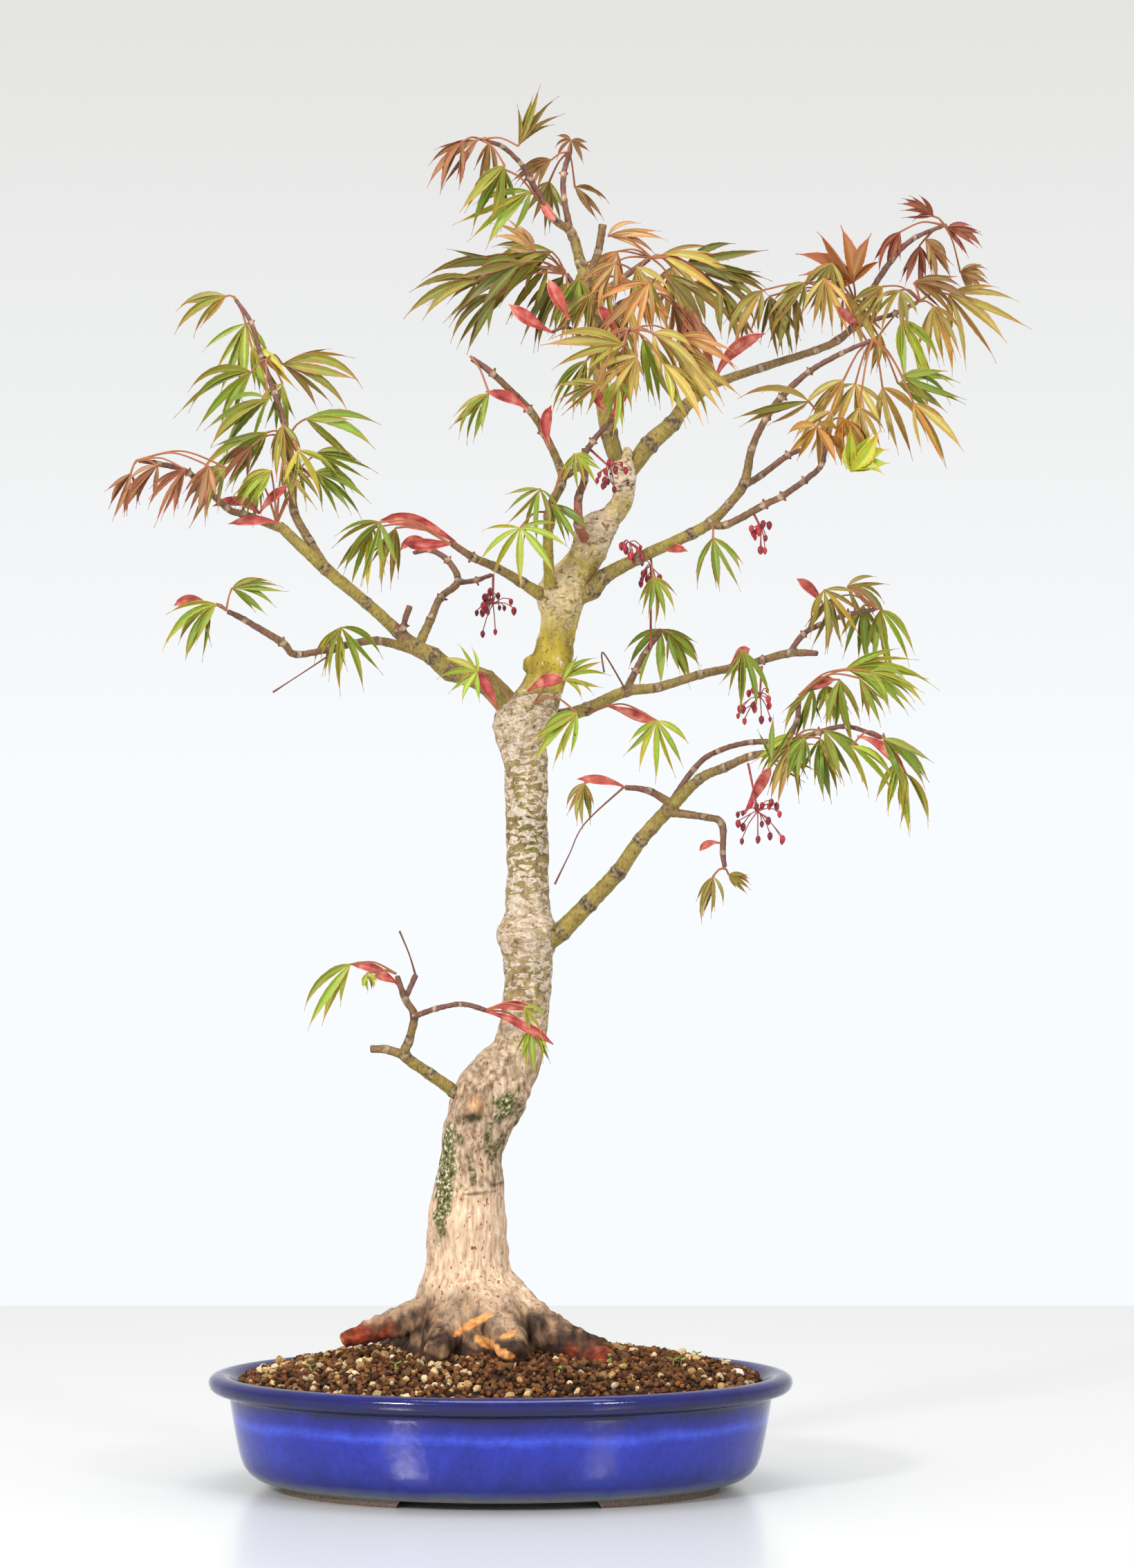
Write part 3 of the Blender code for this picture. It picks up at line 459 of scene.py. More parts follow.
def granules(name, seed, side, count):
    """Loose granules on one half of the bed: cubes with their corners cut, each turned its own way."""
    dice = random.Random(seed)
    cube = bmesh.new()
    bmesh.ops.create_cube(cube, size=1)
    bmesh.ops.subdivide_edges(cube, edges=cube.edges[:], cuts=1, use_grid_fill=True)
    for vert in cube.verts:
        vert.co = vert.co.normalized() * (0.5 + 0.06 * (abs(vert.co.x) + abs(vert.co.y) + abs(vert.co.z)))
    pattern = mesh_from(cube, "granule")
    heap = bmesh.new()
    heap.verts.layers.float_color.new("granule")
    placed = 0
    while placed < count:
        work = bmesh.new()
        colour_layer = work.verts.layers.float_color.new("granule")
        for granule in range(BATCH):
            x, y = 0.0, 0.0
            while math.hypot(x - TRUNK_FOOT[0], y - TRUNK_FOOT[1]) < BARE_ROUND_TRUNK:
                angle = dice.uniform(-math.pi / 2, math.pi / 2) + (0 if side > 0 else math.pi)
                out = math.sqrt(dice.random())
                x = out * math.cos(angle) * (SOIL_REACH[0] - 1)
                y = out * math.sin(angle) * (SOIL_REACH[1] - 1)
            placed += 1
            pumice = dice.random() < (PUMICE_LEFT if x < TRUNK_FOOT[0] else PUMICE_RIGHT)
            size = dice.triangular(*GRANULE_SIZES) * (1.4 if pumice else 1)
            before = len(work.verts)
            work.from_mesh(pattern)
            work.verts.ensure_lookup_table()
            shape = (dice.uniform(0.8, 1.25), dice.uniform(0.75, 1.1), dice.uniform(0.6, 0.95))
            axis = Vector((dice.uniform(-1, 1), dice.uniform(-1, 1), dice.uniform(0.3, 1))).normalized()
            turn = Vector((0, 0, 1)).rotation_difference(axis)
            shade = dice.choice(GRANULE_PUMICE if pumice else GRANULE_CLAYS)
            bright = dice.uniform(0.6, 1.15)
            colour = (*(c * bright for c in linear(*shade)), 1)
            level = soil_height(x, y) + size * dice.uniform(-0.25, 0.35)
            middle = Vector((POT_X + x * MM, y * MM, level * MM))
            for vert in work.verts[before:]:
                local = Vector(a * b for a, b in zip(vert.co, shape))
                local *= 1 + 0.34 * noise.noise(vert.co * 2.4 + middle * 3000)
                vert.co = middle + turn @ local * size * MM
                vert[colour_layer] = colour
        batch = mesh_from(work, "granule_batch")
        heap.from_mesh(batch)
        bpy.data.meshes.remove(batch)
    piece_from(name, mesh_from(heap, name), earth, smooth=False)


granules("granules_left", 11, -1, GRANULES_A_SIDE)
granules("granules_right", 12, 1, GRANULES_A_SIDE)

# ---- White stone --------------------------------------------------------------------------
# One white chip of stone, 7 mm long, bedded among the granules near the rim on the right. It
# is a lump with its corners worn round.
STONE_X = 121
STONE_Y = -18
STONE_HALF = (3.6, 2.8, 2.3)
stone_middle = Vector((STONE_X, STONE_Y, soil_height(STONE_X, STONE_Y) + 1.6))
stone_work = bmesh.new()
bmesh.ops.create_icosphere(stone_work, subdivisions=3, radius=1)
stone_layer = stone_work.verts.layers.float_color.new("granule")
for vert in stone_work.verts:
    rough = 1 + 0.25 * noise.noise(vert.co * 1.3)
    out = Vector(a * b * rough for a, b in zip(vert.co, STONE_HALF))
    vert.co = Vector((POT_X, 0, 0)) + (stone_middle + out) * MM
    vert[stone_layer] = (*linear(240, 238, 232), 1)
piece_from("white_stone", mesh_from(stone_work, "white_stone"), earth, smooth=False)

# ---- Seedlings ----------------------------------------------------------------------------
# Weeds that came up by themselves, 4 mm tall: two oval seed leaves on a pale stalk, rooted in
# the soil.
SEEDLINGS = [(88, -28), (92, -24), (56, -40), (-96, -36), (-52, -58), (30, -70), (101, 12), (-30, 60)]
seedling_skin, tree, shader = new_material("seedling_skin", 0.5)
fresh_green = grained(tree, [(0.3, linear(74, 120, 30)), (0.7, linear(140, 186, 60))], 800, 2)
tree.links.new(fresh_green, shader.inputs["Base Color"])
bump_from(tree, shader, noise_of(tree, 1400, 2), 0.0002, 0.4)
sprout_work = bmesh.new()
for number, (x, y) in enumerate(SEEDLINGS):
    foot = Vector((POT_X + x * MM, y * MM, soil_height(x, y) * MM))
    for side in (-1, 1):
        leaf = bmesh.ops.create_icosphere(sprout_work, subdivisions=2, radius=1)["verts"]
        swing = number * 0.9
        for vert in leaf:
            out = (vert.co.x + 1) * 1.7 * side
            across = vert.co.y * 1.1
            leaf_x = out * math.cos(swing) - across * math.sin(swing)
            leaf_y = out * math.sin(swing) + across * math.cos(swing)
            leaf_z = 3.4 + abs(out) * 0.4 + vert.co.z * 0.25
            vert.co = foot + Vector((leaf_x, leaf_y, leaf_z)) * MM
    stalk = bmesh.ops.create_cone(sprout_work, cap_ends=True, segments=8, radius1=0.0004, radius2=0.0003,
                                  depth=0.0044)
    bmesh.ops.translate(sprout_work, verts=stalk["verts"], vec=foot + Vector((0, 0, 0.0014)))
piece_from("seedlings", mesh_from(sprout_work, "seedlings"), seedling_skin)

# ---- Trunk --------------------------------------------------------------------------------
# The maple's trunk with its surface roots: smooth grey-tan bark low down, a knobby burl, olive
# bark with grey patches above it, and a rough pale collar where each limb leaves.
# x, y, z, radius, in mm from the pot's middle, on the front elevation as the eye sees it
TRUNK = [
    (-14, 0, 42, 33), (-14, 0, 68, 39), (-14.5, 0, 80, 36), (-14.2, 0, 93, 31), (-16.3, 0, 103, 26.5),
    (-17.1, 0, 115, 21.9), (-17.4, -1, 140, 20), (-15.3, -1, 157, 17.4), (-15.2, -1, 171, 15.8),
    (-12.6, -2, 183, 16.8), (-6, -2, 199, 19), (1.4, -1, 211, 17), (8.3, 0, 222, 13.4),
    (12.1, 1, 238, 12.5), (13.9, 1, 258, 12.4), (14, 1, 272, 13.2), (14, 1, 284, 16.2),
    (13.7, 1, 297, 11.4), (13.5, 1, 330, 11), (13, 0, 364, 11.2), (11.5, 0, 380, 12), (11, 0, 392, 14.4),
    (20, 1, 405, 11.2), (26.6, 2, 426, 10.2), (30.2, 3, 444, 9.6), (31.6, 3, 458, 13), (40, 4, 471, 9.2),
    (46, 4, 482, 8.8), (48.5, 4, 490, 9.6), (58, 5, 499, 6), (63.5, 5, 510, 5.4), (62.5, 5, 520, 6.6),
    (61, 5, 527, 5.2),
]
ROOTS = [
    [(-18, -4, 100, 17), (-34, -9, 90, 12), (-47, -14, 86, 8.5), (-62, -19, 81, 6.2),
     (-82, -25, 74.5, 4.8)],
    [(-8, -4, 100, 17), (6, -10, 88, 14), (22, -17, 78, 11), (38, -24, 70, 9), (56, -32, 60, 6.5)],
    [(-4, 4, 98, 16), (20, 10, 82, 12), (44, 16, 73, 8), (70, 22, 63, 5)],
    [(-18, -8, 98, 15), (-27, -30, 80, 10), (-35, -50, 68, 6)],
    [(-10, -8, 98, 16), (0, -32, 80, 11), (8, -52, 66, 6)],
    [(-22, 6, 98, 15), (-44, 24, 80, 9), (-64, 42, 66, 5)],
    [(-12, 8, 98, 16), (-6, 36, 80, 10), (4, 58, 65, 5)],
]
KNOBS = [
    [(-14, -8, 190, 9), (-17, -16, 192, 7.5), (-18, -20, 193, 5)],
    [(4, -6, 203, 9), (9, -14, 204, 8), (11, -17, 204, 5)],
    [(24, 2, 421, 6), (15, -1, 422, 5), (12, -2, 422, 3)],
    [(62, 5, 522, 4), (64.5, 3, 528, 2.8), (65.6, 2, 533, 2)],
]


def stand(x, y, z):
    """A point of the tree's drawn elevation, in metres where it stands."""
    wider = 1 + y / EYE_DISTANCE
    return Vector((POT_X + (EYE_X + (x - EYE_X) * wider) * MM, y * MM, (EYE_Z + (z - EYE_Z) * wider) * MM))


def smooth_path(points, spacing):
    """Points along a smooth curve through the given ones, about spacing mm apart."""
    dense = []
    last = len(points) - 1
    for i in range(last):
        a, b, c, d = points[max(i - 1, 0)], points[i], points[i + 1], points[min(i + 2, last)]
        count = max(1, round(math.dist(b[:3], c[:3]) / spacing))
        for step in range(count):
            t = step / count
            dense.append(tuple(
                q + 0.5 * t * (r - p + t * (2 * p - 5 * q + 4 * r - s + t * (3 * q - p - 3 * r + s)))
                for p, q, r, s in zip(a, b, c, d)))
    dense.append(tuple(points[-1]))
    return dense


def stems_mesh(stems, spacing, bevel, swell=0.0):
    """Stems through drawn points (x, y, z, radius), as one mesh; swell is a ring at each point given."""
    curve = bpy.data.curves.new("stems", "CURVE")
    curve.dimensions = "3D"
    curve.bevel_depth = MM
    curve.bevel_resolution = bevel
    curve.use_fill_caps = True
    for points in stems:
        path = smooth_path(points, spacing)
        spline = curve.splines.new("POLY")
        spline.points.add(len(path) - 1)
        for knot, point in zip(spline.points, path):
            knot.co = (*stand(*point[:3]), 1)
            from_joint = min((math.dist(point[:3], joint[:3]) for joint in points[1:-1]), default=9.0)
            knot.radius = max(point[3], 0.2) * (1 + swell * math.exp(-(from_joint / 1.3) ** 2))
    return finished_mesh(set_down("stems", curve))


def grown_together(mesh, voxel, rounds):
    """One skin over stems that run into each other, with its joins eased."""
    thing = set_down("joined", mesh)
    remesh = thing.modifiers.new("skin", "REMESH")
    remesh.mode = "VOXEL"
    remesh.voxel_size = voxel * MM
    ease = thing.modifiers.new("ease", "SMOOTH")
    ease.iterations = rounds
    ease.factor = 0.5
    return finished_mesh(thing)


TRUNK_SKIN = 0.98
trunk_mesh = grown_together(stems_mesh([TRUNK] + ROOTS + KNOBS, 3, 7), TRUNK_SKIN, 6)

COLLARS = [(14, 0, 285), (11, 0, 392), (31, 3, 459), (48.5, 4, 490), (62.5, 5, 519)]
BURL = (-5, -4, 199)
KNOT = (-15.4, -21, 188.9)
KNOT_HEART = (-13.5, -20, 196)
MOSS_SPOT = (3, -20, 194)
MOSS_STRIP = ((-25, 188), (-31, 124), 5.5)
GRAFT_LINES = [((-21, 151), (-2.5, 152.4), 1.1), ((-5.5, 155.4), (3.6, 156.6), 1.2)]
# Torn strips of bare wood above the soil, each from one end to the other, with its half width
SLIVERS = [((-24, 81.5), (-3, 92.5), 2.4), ((0, 81.6), (9, 85.2), 2.0), ((-13, 80), (1, 75), 3.4),
           ((-4, 76.4), (8, 72), 2.4)]
RED_ROOTS = [((-78, -25, 73), 15), ((-60, -22, 76), 8), ((50, -34, 64), 9), ((36, -32, 66), 6)]
collar_points = [stand(*place) for place in COLLARS]
burl_point = stand(*BURL)
knot_point = stand(*KNOT)
heart_point = stand(*KNOT_HEART)
moss_point = stand(*MOSS_SPOT)
root_cut = stand(-83, -25, 74)
red_points = [(stand(*place), reach * MM) for place, reach in RED_ROOTS]


def near(point, middle, reach):
    """How near a point is to a middle: 1 there, about a third at the reach, and 0 far off."""
    return math.exp(-((point - middle).length / reach) ** 2)


def clamp(value):
    """A value held between 0 and 1."""
    return max(0.0, min(1.0, value))


def strip_cover(x, z, start, end, width):
    """How far inside a strip a place of the elevation lies, in mm; the strip narrows to its ends."""
    along_x, along_z = end[0] - start[0], end[1] - start[1]
    share = clamp(((x - start[0]) * along_x + (z - start[1]) * along_z) / (along_x ** 2 + along_z ** 2))
    off = math.hypot(x - start[0] - along_x * share, z - start[1] - along_z * share)
    return width * math.sqrt(max(0.0, 1 - (2 * share - 1) ** 2)) - off


bark_values = []
wound_values = []
moss_values = []
moved = []
for vert in trunk_mesh.vertices:
    here = vert.co.copy()
    level = here.z / MM
    collar = max(near(here, place, 0.0145) for place in collar_points)
    burl = near(here, burl_point, 0.021)
    foot = clamp((118 - level) / 34)
    lumps = noise.noise(here * 90) * 0.0009 + noise.noise(here * 240) * 0.0005
    ridges = noise.noise(Vector((here.x * 300, here.y * 300, here.z * 38))) * 0.0006
    rough = abs(noise.noise(here * 520)) * 0.0016
    knobby = noise.noise(here * 150 + Vector((7, 3, 1))) * 0.0028
    turn = math.atan2(here.y, here.x - POT_X + 0.014)
    flare = noise.noise(Vector((math.cos(turn) * 2.4, math.sin(turn) * 2.4, level * 0.014))) * foot * 0.0055
    knot_offset = here - knot_point
    knot_size = Vector((knot_offset.x / 0.0062, knot_offset.y / 0.009, knot_offset.z / 0.0034))
    knot = math.exp(-knot_size.length_squared)
    move = lumps + ridges * (0.5 + foot * 2.4) + rough * collar + knobby * burl + flare - knot * 0.0022
    moved.extend(here + vert.normal * move)
    olive = clamp((level - 205) / 60) * 0.75 + clamp((level - 395) / 20) * 0.25
    stain = clamp((104 + 12 * noise.noise(here * 60) - level) / 20)
    soak = clamp((84 + 14 * noise.noise(here * 90) - level) / 9)
    bark_values.extend((olive, clamp(collar * 1.25), stain, soak))
    x = (here.x - POT_X) / MM
    bare = 0.0
    if level < 96 and here.y < -0.005:
        bare = max(strip_cover(x, level, start, end, width) for start, end, width in SLIVERS)
        bare = clamp(bare * 1.2 + 0.9 * noise.noise(here * 500))
    red = max(near(here, place, reach) for place, reach in red_points)
    red = clamp(red * 1.5 - 0.3 + 0.5 * noise.noise(here * 210))
    bare = max(bare, clamp(near(here, root_cut, 0.0055) * 3 - 1.2))
    graft = max(strip_cover(x, level, start, end, width) for start, end, width in GRAFT_LINES)
    mossy = clamp(strip_cover(x, level, *MOSS_STRIP) / 2 + 1.6 * noise.noise(here * 160))
    heart = near(here, heart_point, 0.0040) - near(here, heart_point, 0.0016) * 0.8
    bare = max(bare, clamp(heart) * 0.75)
    mossy = max(mossy, clamp(near(here, moss_point, 0.0085) * 2.6 - 0.9 + 1.2 * noise.noise(here * 260)))
    dark = clamp(knot * 1.5 + 0.4 * noise.noise(here * 300) - 0.2)
    if here.y < 0:
        dark = max(dark, clamp(graft * 1.2 + 0.7 * noise.noise(here * 200)) * 0.8)
    moss_values.append(mossy if here.y < 0.004 else 0.0)
    ring = clamp(near(here, heart_point, 0.0062) - near(here, heart_point, 0.0048)) * 2
    wound_values.extend((bare, red, max(dark, ring), clamp((level - 152 + 3 * noise.noise(here * 50)) / 3)))
paint(trunk_mesh, "bark", bark_values)
paint(trunk_mesh, "wounds", wound_values)
trunk_mesh.vertices.foreach_set("co", moved)
trunk_mesh.attributes.new("moss", "FLOAT", "POINT").data.foreach_set("value", moss_values)


def parted(tree, source):
    """A colour's three channels, as masks."""
    made = node(tree, "ShaderNodeSeparateColor")
    tree.links.new(source, made.inputs[0])
    return made.outputs[:3]


NOTHING = (0, 0, 0)
ALL = (1, 1, 1)
bark, tree, shader = new_material("trunk_bark", 0.82)
shader.inputs["Specular IOR Level"].default_value = 0.3
olive_part, collar_part, stained_part = parted(tree, attribute(tree, "bark"))
bare_part, red_part, dark_part = parted(tree, attribute(tree, "wounds"))
upper_part = attribute(tree, "wounds", "Alpha")

# Tan bark below the burl, with grey streaks, rusty flecks, moss and lichen
tan = grained(tree, [
    (0.28, linear(158, 124, 98)), (0.42, linear(198, 166, 136)), (0.56, linear(220, 192, 162)),
    (0.74, linear(236, 216, 190))], 560, 6, (1, 1, 0.22))
grey_streaks = grained(tree, [
    (0.3, linear(108, 84, 66)), (0.44, linear(160, 132, 108)), (0.56, linear(192, 166, 138)),
    (0.7, linear(216, 196, 168))], 420, 6, (1, 1, 0.5))
tan = mix(tree, upper_part, tan, grey_streaks)
flecks = grained(tree, [(0.62, ALL), (0.68, linear(176, 104, 80))], 520, 3, (1, 1, 0.6))
tan = times(tree, tan, flecks)
moss = grained(tree, [(0.54, NOTHING), (0.6, (0.9, 0.9, 0.9))], 70, 7, (1, 1, 0.5), 0.8)
moss_bark = grained(tree, [
    (0.36, linear(52, 48, 24)), (0.48, linear(98, 90, 52)), (0.62, linear(166, 150, 120))], 420, 6)
tan = mix(tree, times(tree, moss, upper_part), tan, moss_bark)
lichen = grained(tree, [
    (0.34, linear(40, 36, 18)), (0.46, linear(96, 96, 52)), (0.56, linear(128, 122, 80)),
    (0.64, linear(222, 212, 190))], 520, 5)
tan = mix(tree, attribute(tree, "moss", "Fac"), tan, lichen)

# Olive bark above it, under pale patches with a dark outline, and plain near the top
green = grained(tree, [
    (0.3, linear(78, 66, 24)), (0.48, linear(124, 108, 44)), (0.72, linear(160, 142, 72))],
    240, 5, (1, 1, 0.7))
patch_grain = noise_of(tree, 230, 8, (0.75, 0.75, 1.6), 0.6)
patch_edge = ramp(tree, patch_grain, [(0.485, NOTHING), (0.515, ALL)])
outline = ramp(tree, patch_grain, [(0.455, ALL), (0.478, (0.42, 0.38, 0.34)), (0.495, ALL)])
patches = grained(tree, [
    (0.3, linear(150, 130, 110)), (0.5, linear(204, 188, 168)), (0.7, linear(232, 220, 204))], 620, 5)
top_part = sum_of(tree, "GREATER_THAN", olive_part, 0.9)
white_flecks = grained(tree, [(0.62, NOTHING), (0.66, ALL)], 380, 5, (1, 1, 0.45))
fewer = mix(tree, top_part, patch_edge, white_flecks)
sun_olive = grained(tree, [
    (0.3, linear(116, 96, 34)), (0.5, linear(158, 138, 46)), (0.72, linear(190, 168, 66))],
    150, 5, (1, 1, 0.4))
olive_bark = mix(tree, fewer, mix(tree, top_part, green, sun_olive), patches)
olive_bark = times(tree, olive_bark, mix(tree, top_part, outline, ALL))
specks = grained(tree, [(0.6, ALL), (0.66, (0.36, 0.28, 0.22))], 520, 4, (1, 1, 1.6))
olive_bark = times(tree, olive_bark, specks)

# Rough pale collars, the damp base, and the torn and red places on top of them all
collar_bark = grained(tree, [
    (0.35, linear(60, 42, 30)), (0.41, linear(168, 142, 116)), (0.52, linear(206, 184, 158)),
    (0.72, linear(230, 216, 196))], 360, 7, (0.8, 0.8, 1.3), 1.0)
damp = grained(tree, [
    (0.34, linear(46, 32, 26)), (0.46, linear(94, 70, 52)), (0.56, linear(136, 106, 80)),
    (0.7, linear(178, 138, 100))], 190, 6, (1, 1, 0.4))
soaked = grained(tree, [(0.35, linear(26, 17, 14)), (0.65, linear(74, 48, 36))], 260, 5)
soaked_part = ramp(tree, attribute(tree, "bark", "Alpha"), [(0.2, NOTHING), (0.8, (0.9, 0.9, 0.9))])
red_bark = grained(tree, [
    (0.3, linear(60, 22, 16)), (0.5, linear(128, 48, 28)), (0.66, linear(186, 84, 44)),
    (0.8, linear(214, 150, 100))], 260, 5, (0.6, 1, 1))
bare_wood = grained(tree, [
    (0.3, linear(206, 120, 56)), (0.55, linear(236, 168, 98)), (0.8, linear(250, 204, 148))],
    500, 4, (0.4, 1, 1))
colour = mix(tree, olive_part, tan, olive_bark)
colour = mix(tree, collar_part, colour, collar_bark)
colour = mix(tree, stained_part, colour, mix(tree, soaked_part, damp, soaked))
colour = mix(tree, red_part, colour, red_bark)
colour = mix(tree, bare_part, colour, bare_wood)
colour = mix(tree, dark_part, colour, linear(58, 50, 28))
tree.links.new(colour, shader.inputs["Base Color"])
bump_from(tree, shader, noise_of(tree, 700, 6, (1, 1, 0.5)), 0.0007, 0.8)
piece_from("maple_trunk", trunk_mesh, bark, ["trunk"])

# ---- Limbs --------------------------------------------------------------------------------
# The limbs and their twigs: yellow-olive bark on the stouter wood, red-brown on the youngest,
# with a pale ring at each joint. Each grows from a collar on the trunk.
LIMBS = {
    "limb_left": [
        [(8, 0, 396, 7), (-8, -2, 413, 6.2), (-26, -5, 419, 5.6), (-35, -7, 426, 4.7),
         (-45, -9, 431.5, 4.3), (-53, -11, 439, 3.4), (-69, -14, 453.5, 3.1), (-90, -17, 471, 3.3),
         (-114, -20, 493.5, 2.7)],
        [(-113, -20, 492, 2.6), (-132, -30, 499, 2), (-141, -36, 502.5, 1.8), (-160, -48, 520, 1.6),
         (-176, -58, 525, 1.4), (-186, -62, 526.3, 1.1)],
        [(-89, -17, 470, 2.6), (-98, -13, 485, 2.4), (-106, -6, 500, 2.3), (-107, 0, 515, 2.1),
         (-110, 8, 540, 1.9), (-116, 14, 561, 1.6), (-123, 20, 580, 1.4), (-128, 24, 597, 1.3),
         (-136, 30, 609, 1.1)],
        [(-46, -9, 430, 2.8), (-63, -22, 434, 2.2), (-75, -32, 432.7, 2), (-104, -48, 427, 1.8),
         (-112, -54, 433, 2), (-132, -64, 445, 1.6), (-140, -70, 449, 1.4)],
        [(-42, -7, 432, 2.8), (-36, 6, 445, 2.3), (-31, 18, 456, 2), (-22, 28, 464.5, 2),
         (-27, 36, 475, 1.6), (-36, 42, 480.5, 1.5), (-45, 46, 479, 1.2)],
        [(-22, 28, 464, 1.6), (-13, 32, 465, 1.4), (-4.6, 36, 468, 1.2)],
        [(-48, -9, 434, 2.4), (-50, -14, 441, 1.6), (-46.7, -17, 452, 1.8)],
    ],
    "limb_low_right": [
        [(20, -2, 277, 5.5), (31, -5, 285, 5.1), (45, -10, 299, 4.5), (60, -15, 315, 4.2),
         (72, -20, 332, 3.7), (86.6, -26, 348, 3.6), (102, -34, 363, 2.7), (115, -42, 369, 2.4),
         (129, -50, 375, 2), (144, -58, 377, 1.7)],
        [(78, -22, 336, 2.2), (99, -20, 368, 1.6), (112, -26, 377.5, 1.5), (129, -36, 382, 1.5),
         (147, -44, 382, 1.8), (163, -54, 387, 1.5), (178, -58, 390, 1.3), (196, -60, 384, 1.1)],
        [(146, -44, 381, 1.6), (152, -46, 393, 1.5), (153, -44, 405, 1.3)],
        [(86, -26, 346, 2.4), (105, -36, 343.5, 1.9), (113.5, -42, 340, 2), (114, -46, 325, 1.5),
         (115, -48, 318, 1.4)],
        [(88, -27, 350, 2.4), (76, -32, 357, 1.8), (64, -36, 358.7, 1.4)],
    ],
    "limb_second_right": [
        [(20, 8, 392, 4.5), (30, 14, 395, 4), (44, 20, 399, 3.4), (64, 27, 408, 3), (80, 32, 410, 2.6),
         (102, 38, 416.6, 2.4), (118, 42, 420, 2.2), (134, 47, 424, 2), (148, 50, 427.6, 2.2),
         (163, 52, 427.6, 1.5)],
        [(64, 27, 408, 2.2), (69, 34, 418, 1.8), (74, 42, 428, 1.6), (82, 52, 438, 1.4)],
        [(148, 50, 427.6, 1.7), (155, 54, 437, 1.6), (163, 58, 442, 1.5), (178, 66, 447.5, 1.4),
         (192, 74, 450, 1.2)],
    ],
    "limb_middle_right": [
        [(36, 2, 456, 5.5), (47, -2, 460, 4.6), (53, -4, 467, 4.1), (71, -10, 476.6, 3.3),
         (98, -18, 489, 3), (108, -22, 495, 2.9), (117, -26, 504, 2.4), (125, -30, 515, 2.6),
         (129, -33, 533, 2), (136, -38, 548, 1.9), (144, -42, 559, 1.8), (158, -46, 572, 1.6),
         (175, -50, 581.7, 1.4), (190, -52, 588.4, 1.1)],
        [(125, -30, 514, 2), (133, -24, 518.5, 1.8), (147, -18, 529, 1.6), (154, -14, 532, 1.3)],
        [(107, -22, 494, 2.3), (116, -27, 493.6, 2), (135, -34, 503.7, 1.9), (144, -40, 508, 1.7),
         (155.5, -46, 516, 1.6), (165, -52, 525, 1.5), (166, -54, 539, 1.2)],
    ],
    "limb_upper_right": [
        [(64, 6, 518, 4.2), (76, 10, 534.5, 4.8), (88, 15, 545.6, 4.3), (93, 17, 552.6, 3.6),
         (105, 22, 563.7, 2.9), (109, 24, 566, 2.7), (133, 33, 574, 2.3), (161, 42, 583, 2.1),
         (173, 46, 588.4, 2.2), (181, 49, 596, 2), (188, 52, 610, 1.8), (201, 56, 630, 1.6),
         (212, 60, 640.6, 1.4), (227, 66, 647, 1.1)],
        [(172, 46, 588, 1.9), (186, 42, 597, 1.5), (202, 38, 602, 1.3), (214, 44, 608, 1.1)],
    ],
    "leader": [
        [(61.5, 5, 522, 4), (55.5, 5, 541, 4.6), (50, 4, 577, 3.7), (48, 4, 602, 3.2), (41, 4, 628, 2.9),
         (36, 4, 644, 2.5), (27, 0, 651, 2), (15, -4, 671, 1.6), (10, -6, 679.4, 1.4),
         (0.4, -10, 688, 1.3), (-9, -15, 691, 1.1)],
        [(36.6, 4.4, 640, 2.1), (32.5, 8, 661, 1.6), (32.3, 11, 673.3, 1.5), (34.8, 14, 684, 1.2)],
        [(44, 3.4, 618, 2.2), (50, 2, 634, 2), (52.4, 0, 648, 2.2)],
        [(50.2, 3, 576, 2.1), (56, -18, 584, 1.8), (62, -44, 592, 1.6), (66, -66, 594, 1.3)],
        [(48.2, 4.6, 600, 2.1), (40, 22, 612, 1.8), (34, 40, 622, 1.4)],
        [(46.4, 4.2, 609, 2.1), (62, 16, 620, 1.8), (76, 30, 630, 1.4)],
        [(48.7, 3.4, 591, 2.1), (60, -14, 606, 1.8), (74, -22, 612, 1.5)],
    ],
    "shoot_green": [
        [(25, -10, 462, 3), (24.5, -22, 498, 2.5), (31, -25, 514.4, 2.4), (30, -27, 524, 2.2),
         (22, -31, 541, 2), (14.6, -34, 552.6, 2), (-4, -38, 571, 1.7), (-14.9, -40, 579, 1.5)],
        [(31, -25, 517, 1.8), (38, -21, 522, 1.6), (47, -17, 536, 1.6), (57, -13, 548, 1.4)],
    ],
    "shoot_red": [
        [(43, -4, 486, 2.4), (40, -14, 494, 2.7), (40, -14, 508, 2.1), (43, -11, 517, 2),
         (43, -12, 533, 1.6)],
    ],
    "twig_collar": [
        [(20, -4, 458, 3.5), (10, -10, 464.5, 2.8), (-3, -18, 472, 2.4), (-14, -26, 476.7, 2.1),
         (-25, -32, 484, 1.8)],
    ],
    "branch_basal": [
        [(-12, -4, 192, 4), (-24.5, -8, 203, 3.5), (-37, -12, 212, 3.1), (-49, -16, 221, 2.9),
         (-47, -17, 229, 2.3), (-44.4, -19, 241.6, 2.1), (-49, -21, 250, 1.9), (-53.3, -23, 262, 1.4)],
        [(-47, -16, 220, 2.4), (-58, -14, 224, 2.3), (-67, -13, 224.4, 2)],
        [(-45, -19, 241, 1.6), (-33.5, -26, 245, 1.5), (-20, -32, 247.5, 1.4), (-8, -37, 244.4, 1.4)],
        [(-49, -21, 250, 1.4), (-43.7, -16, 262.5, 1.6)],
    ],
}


def mixed(first, second, share):
    """What lies this share of the way from one tuple to another."""
    return tuple(a + (b - a) * share for a, b in zip(first, second))


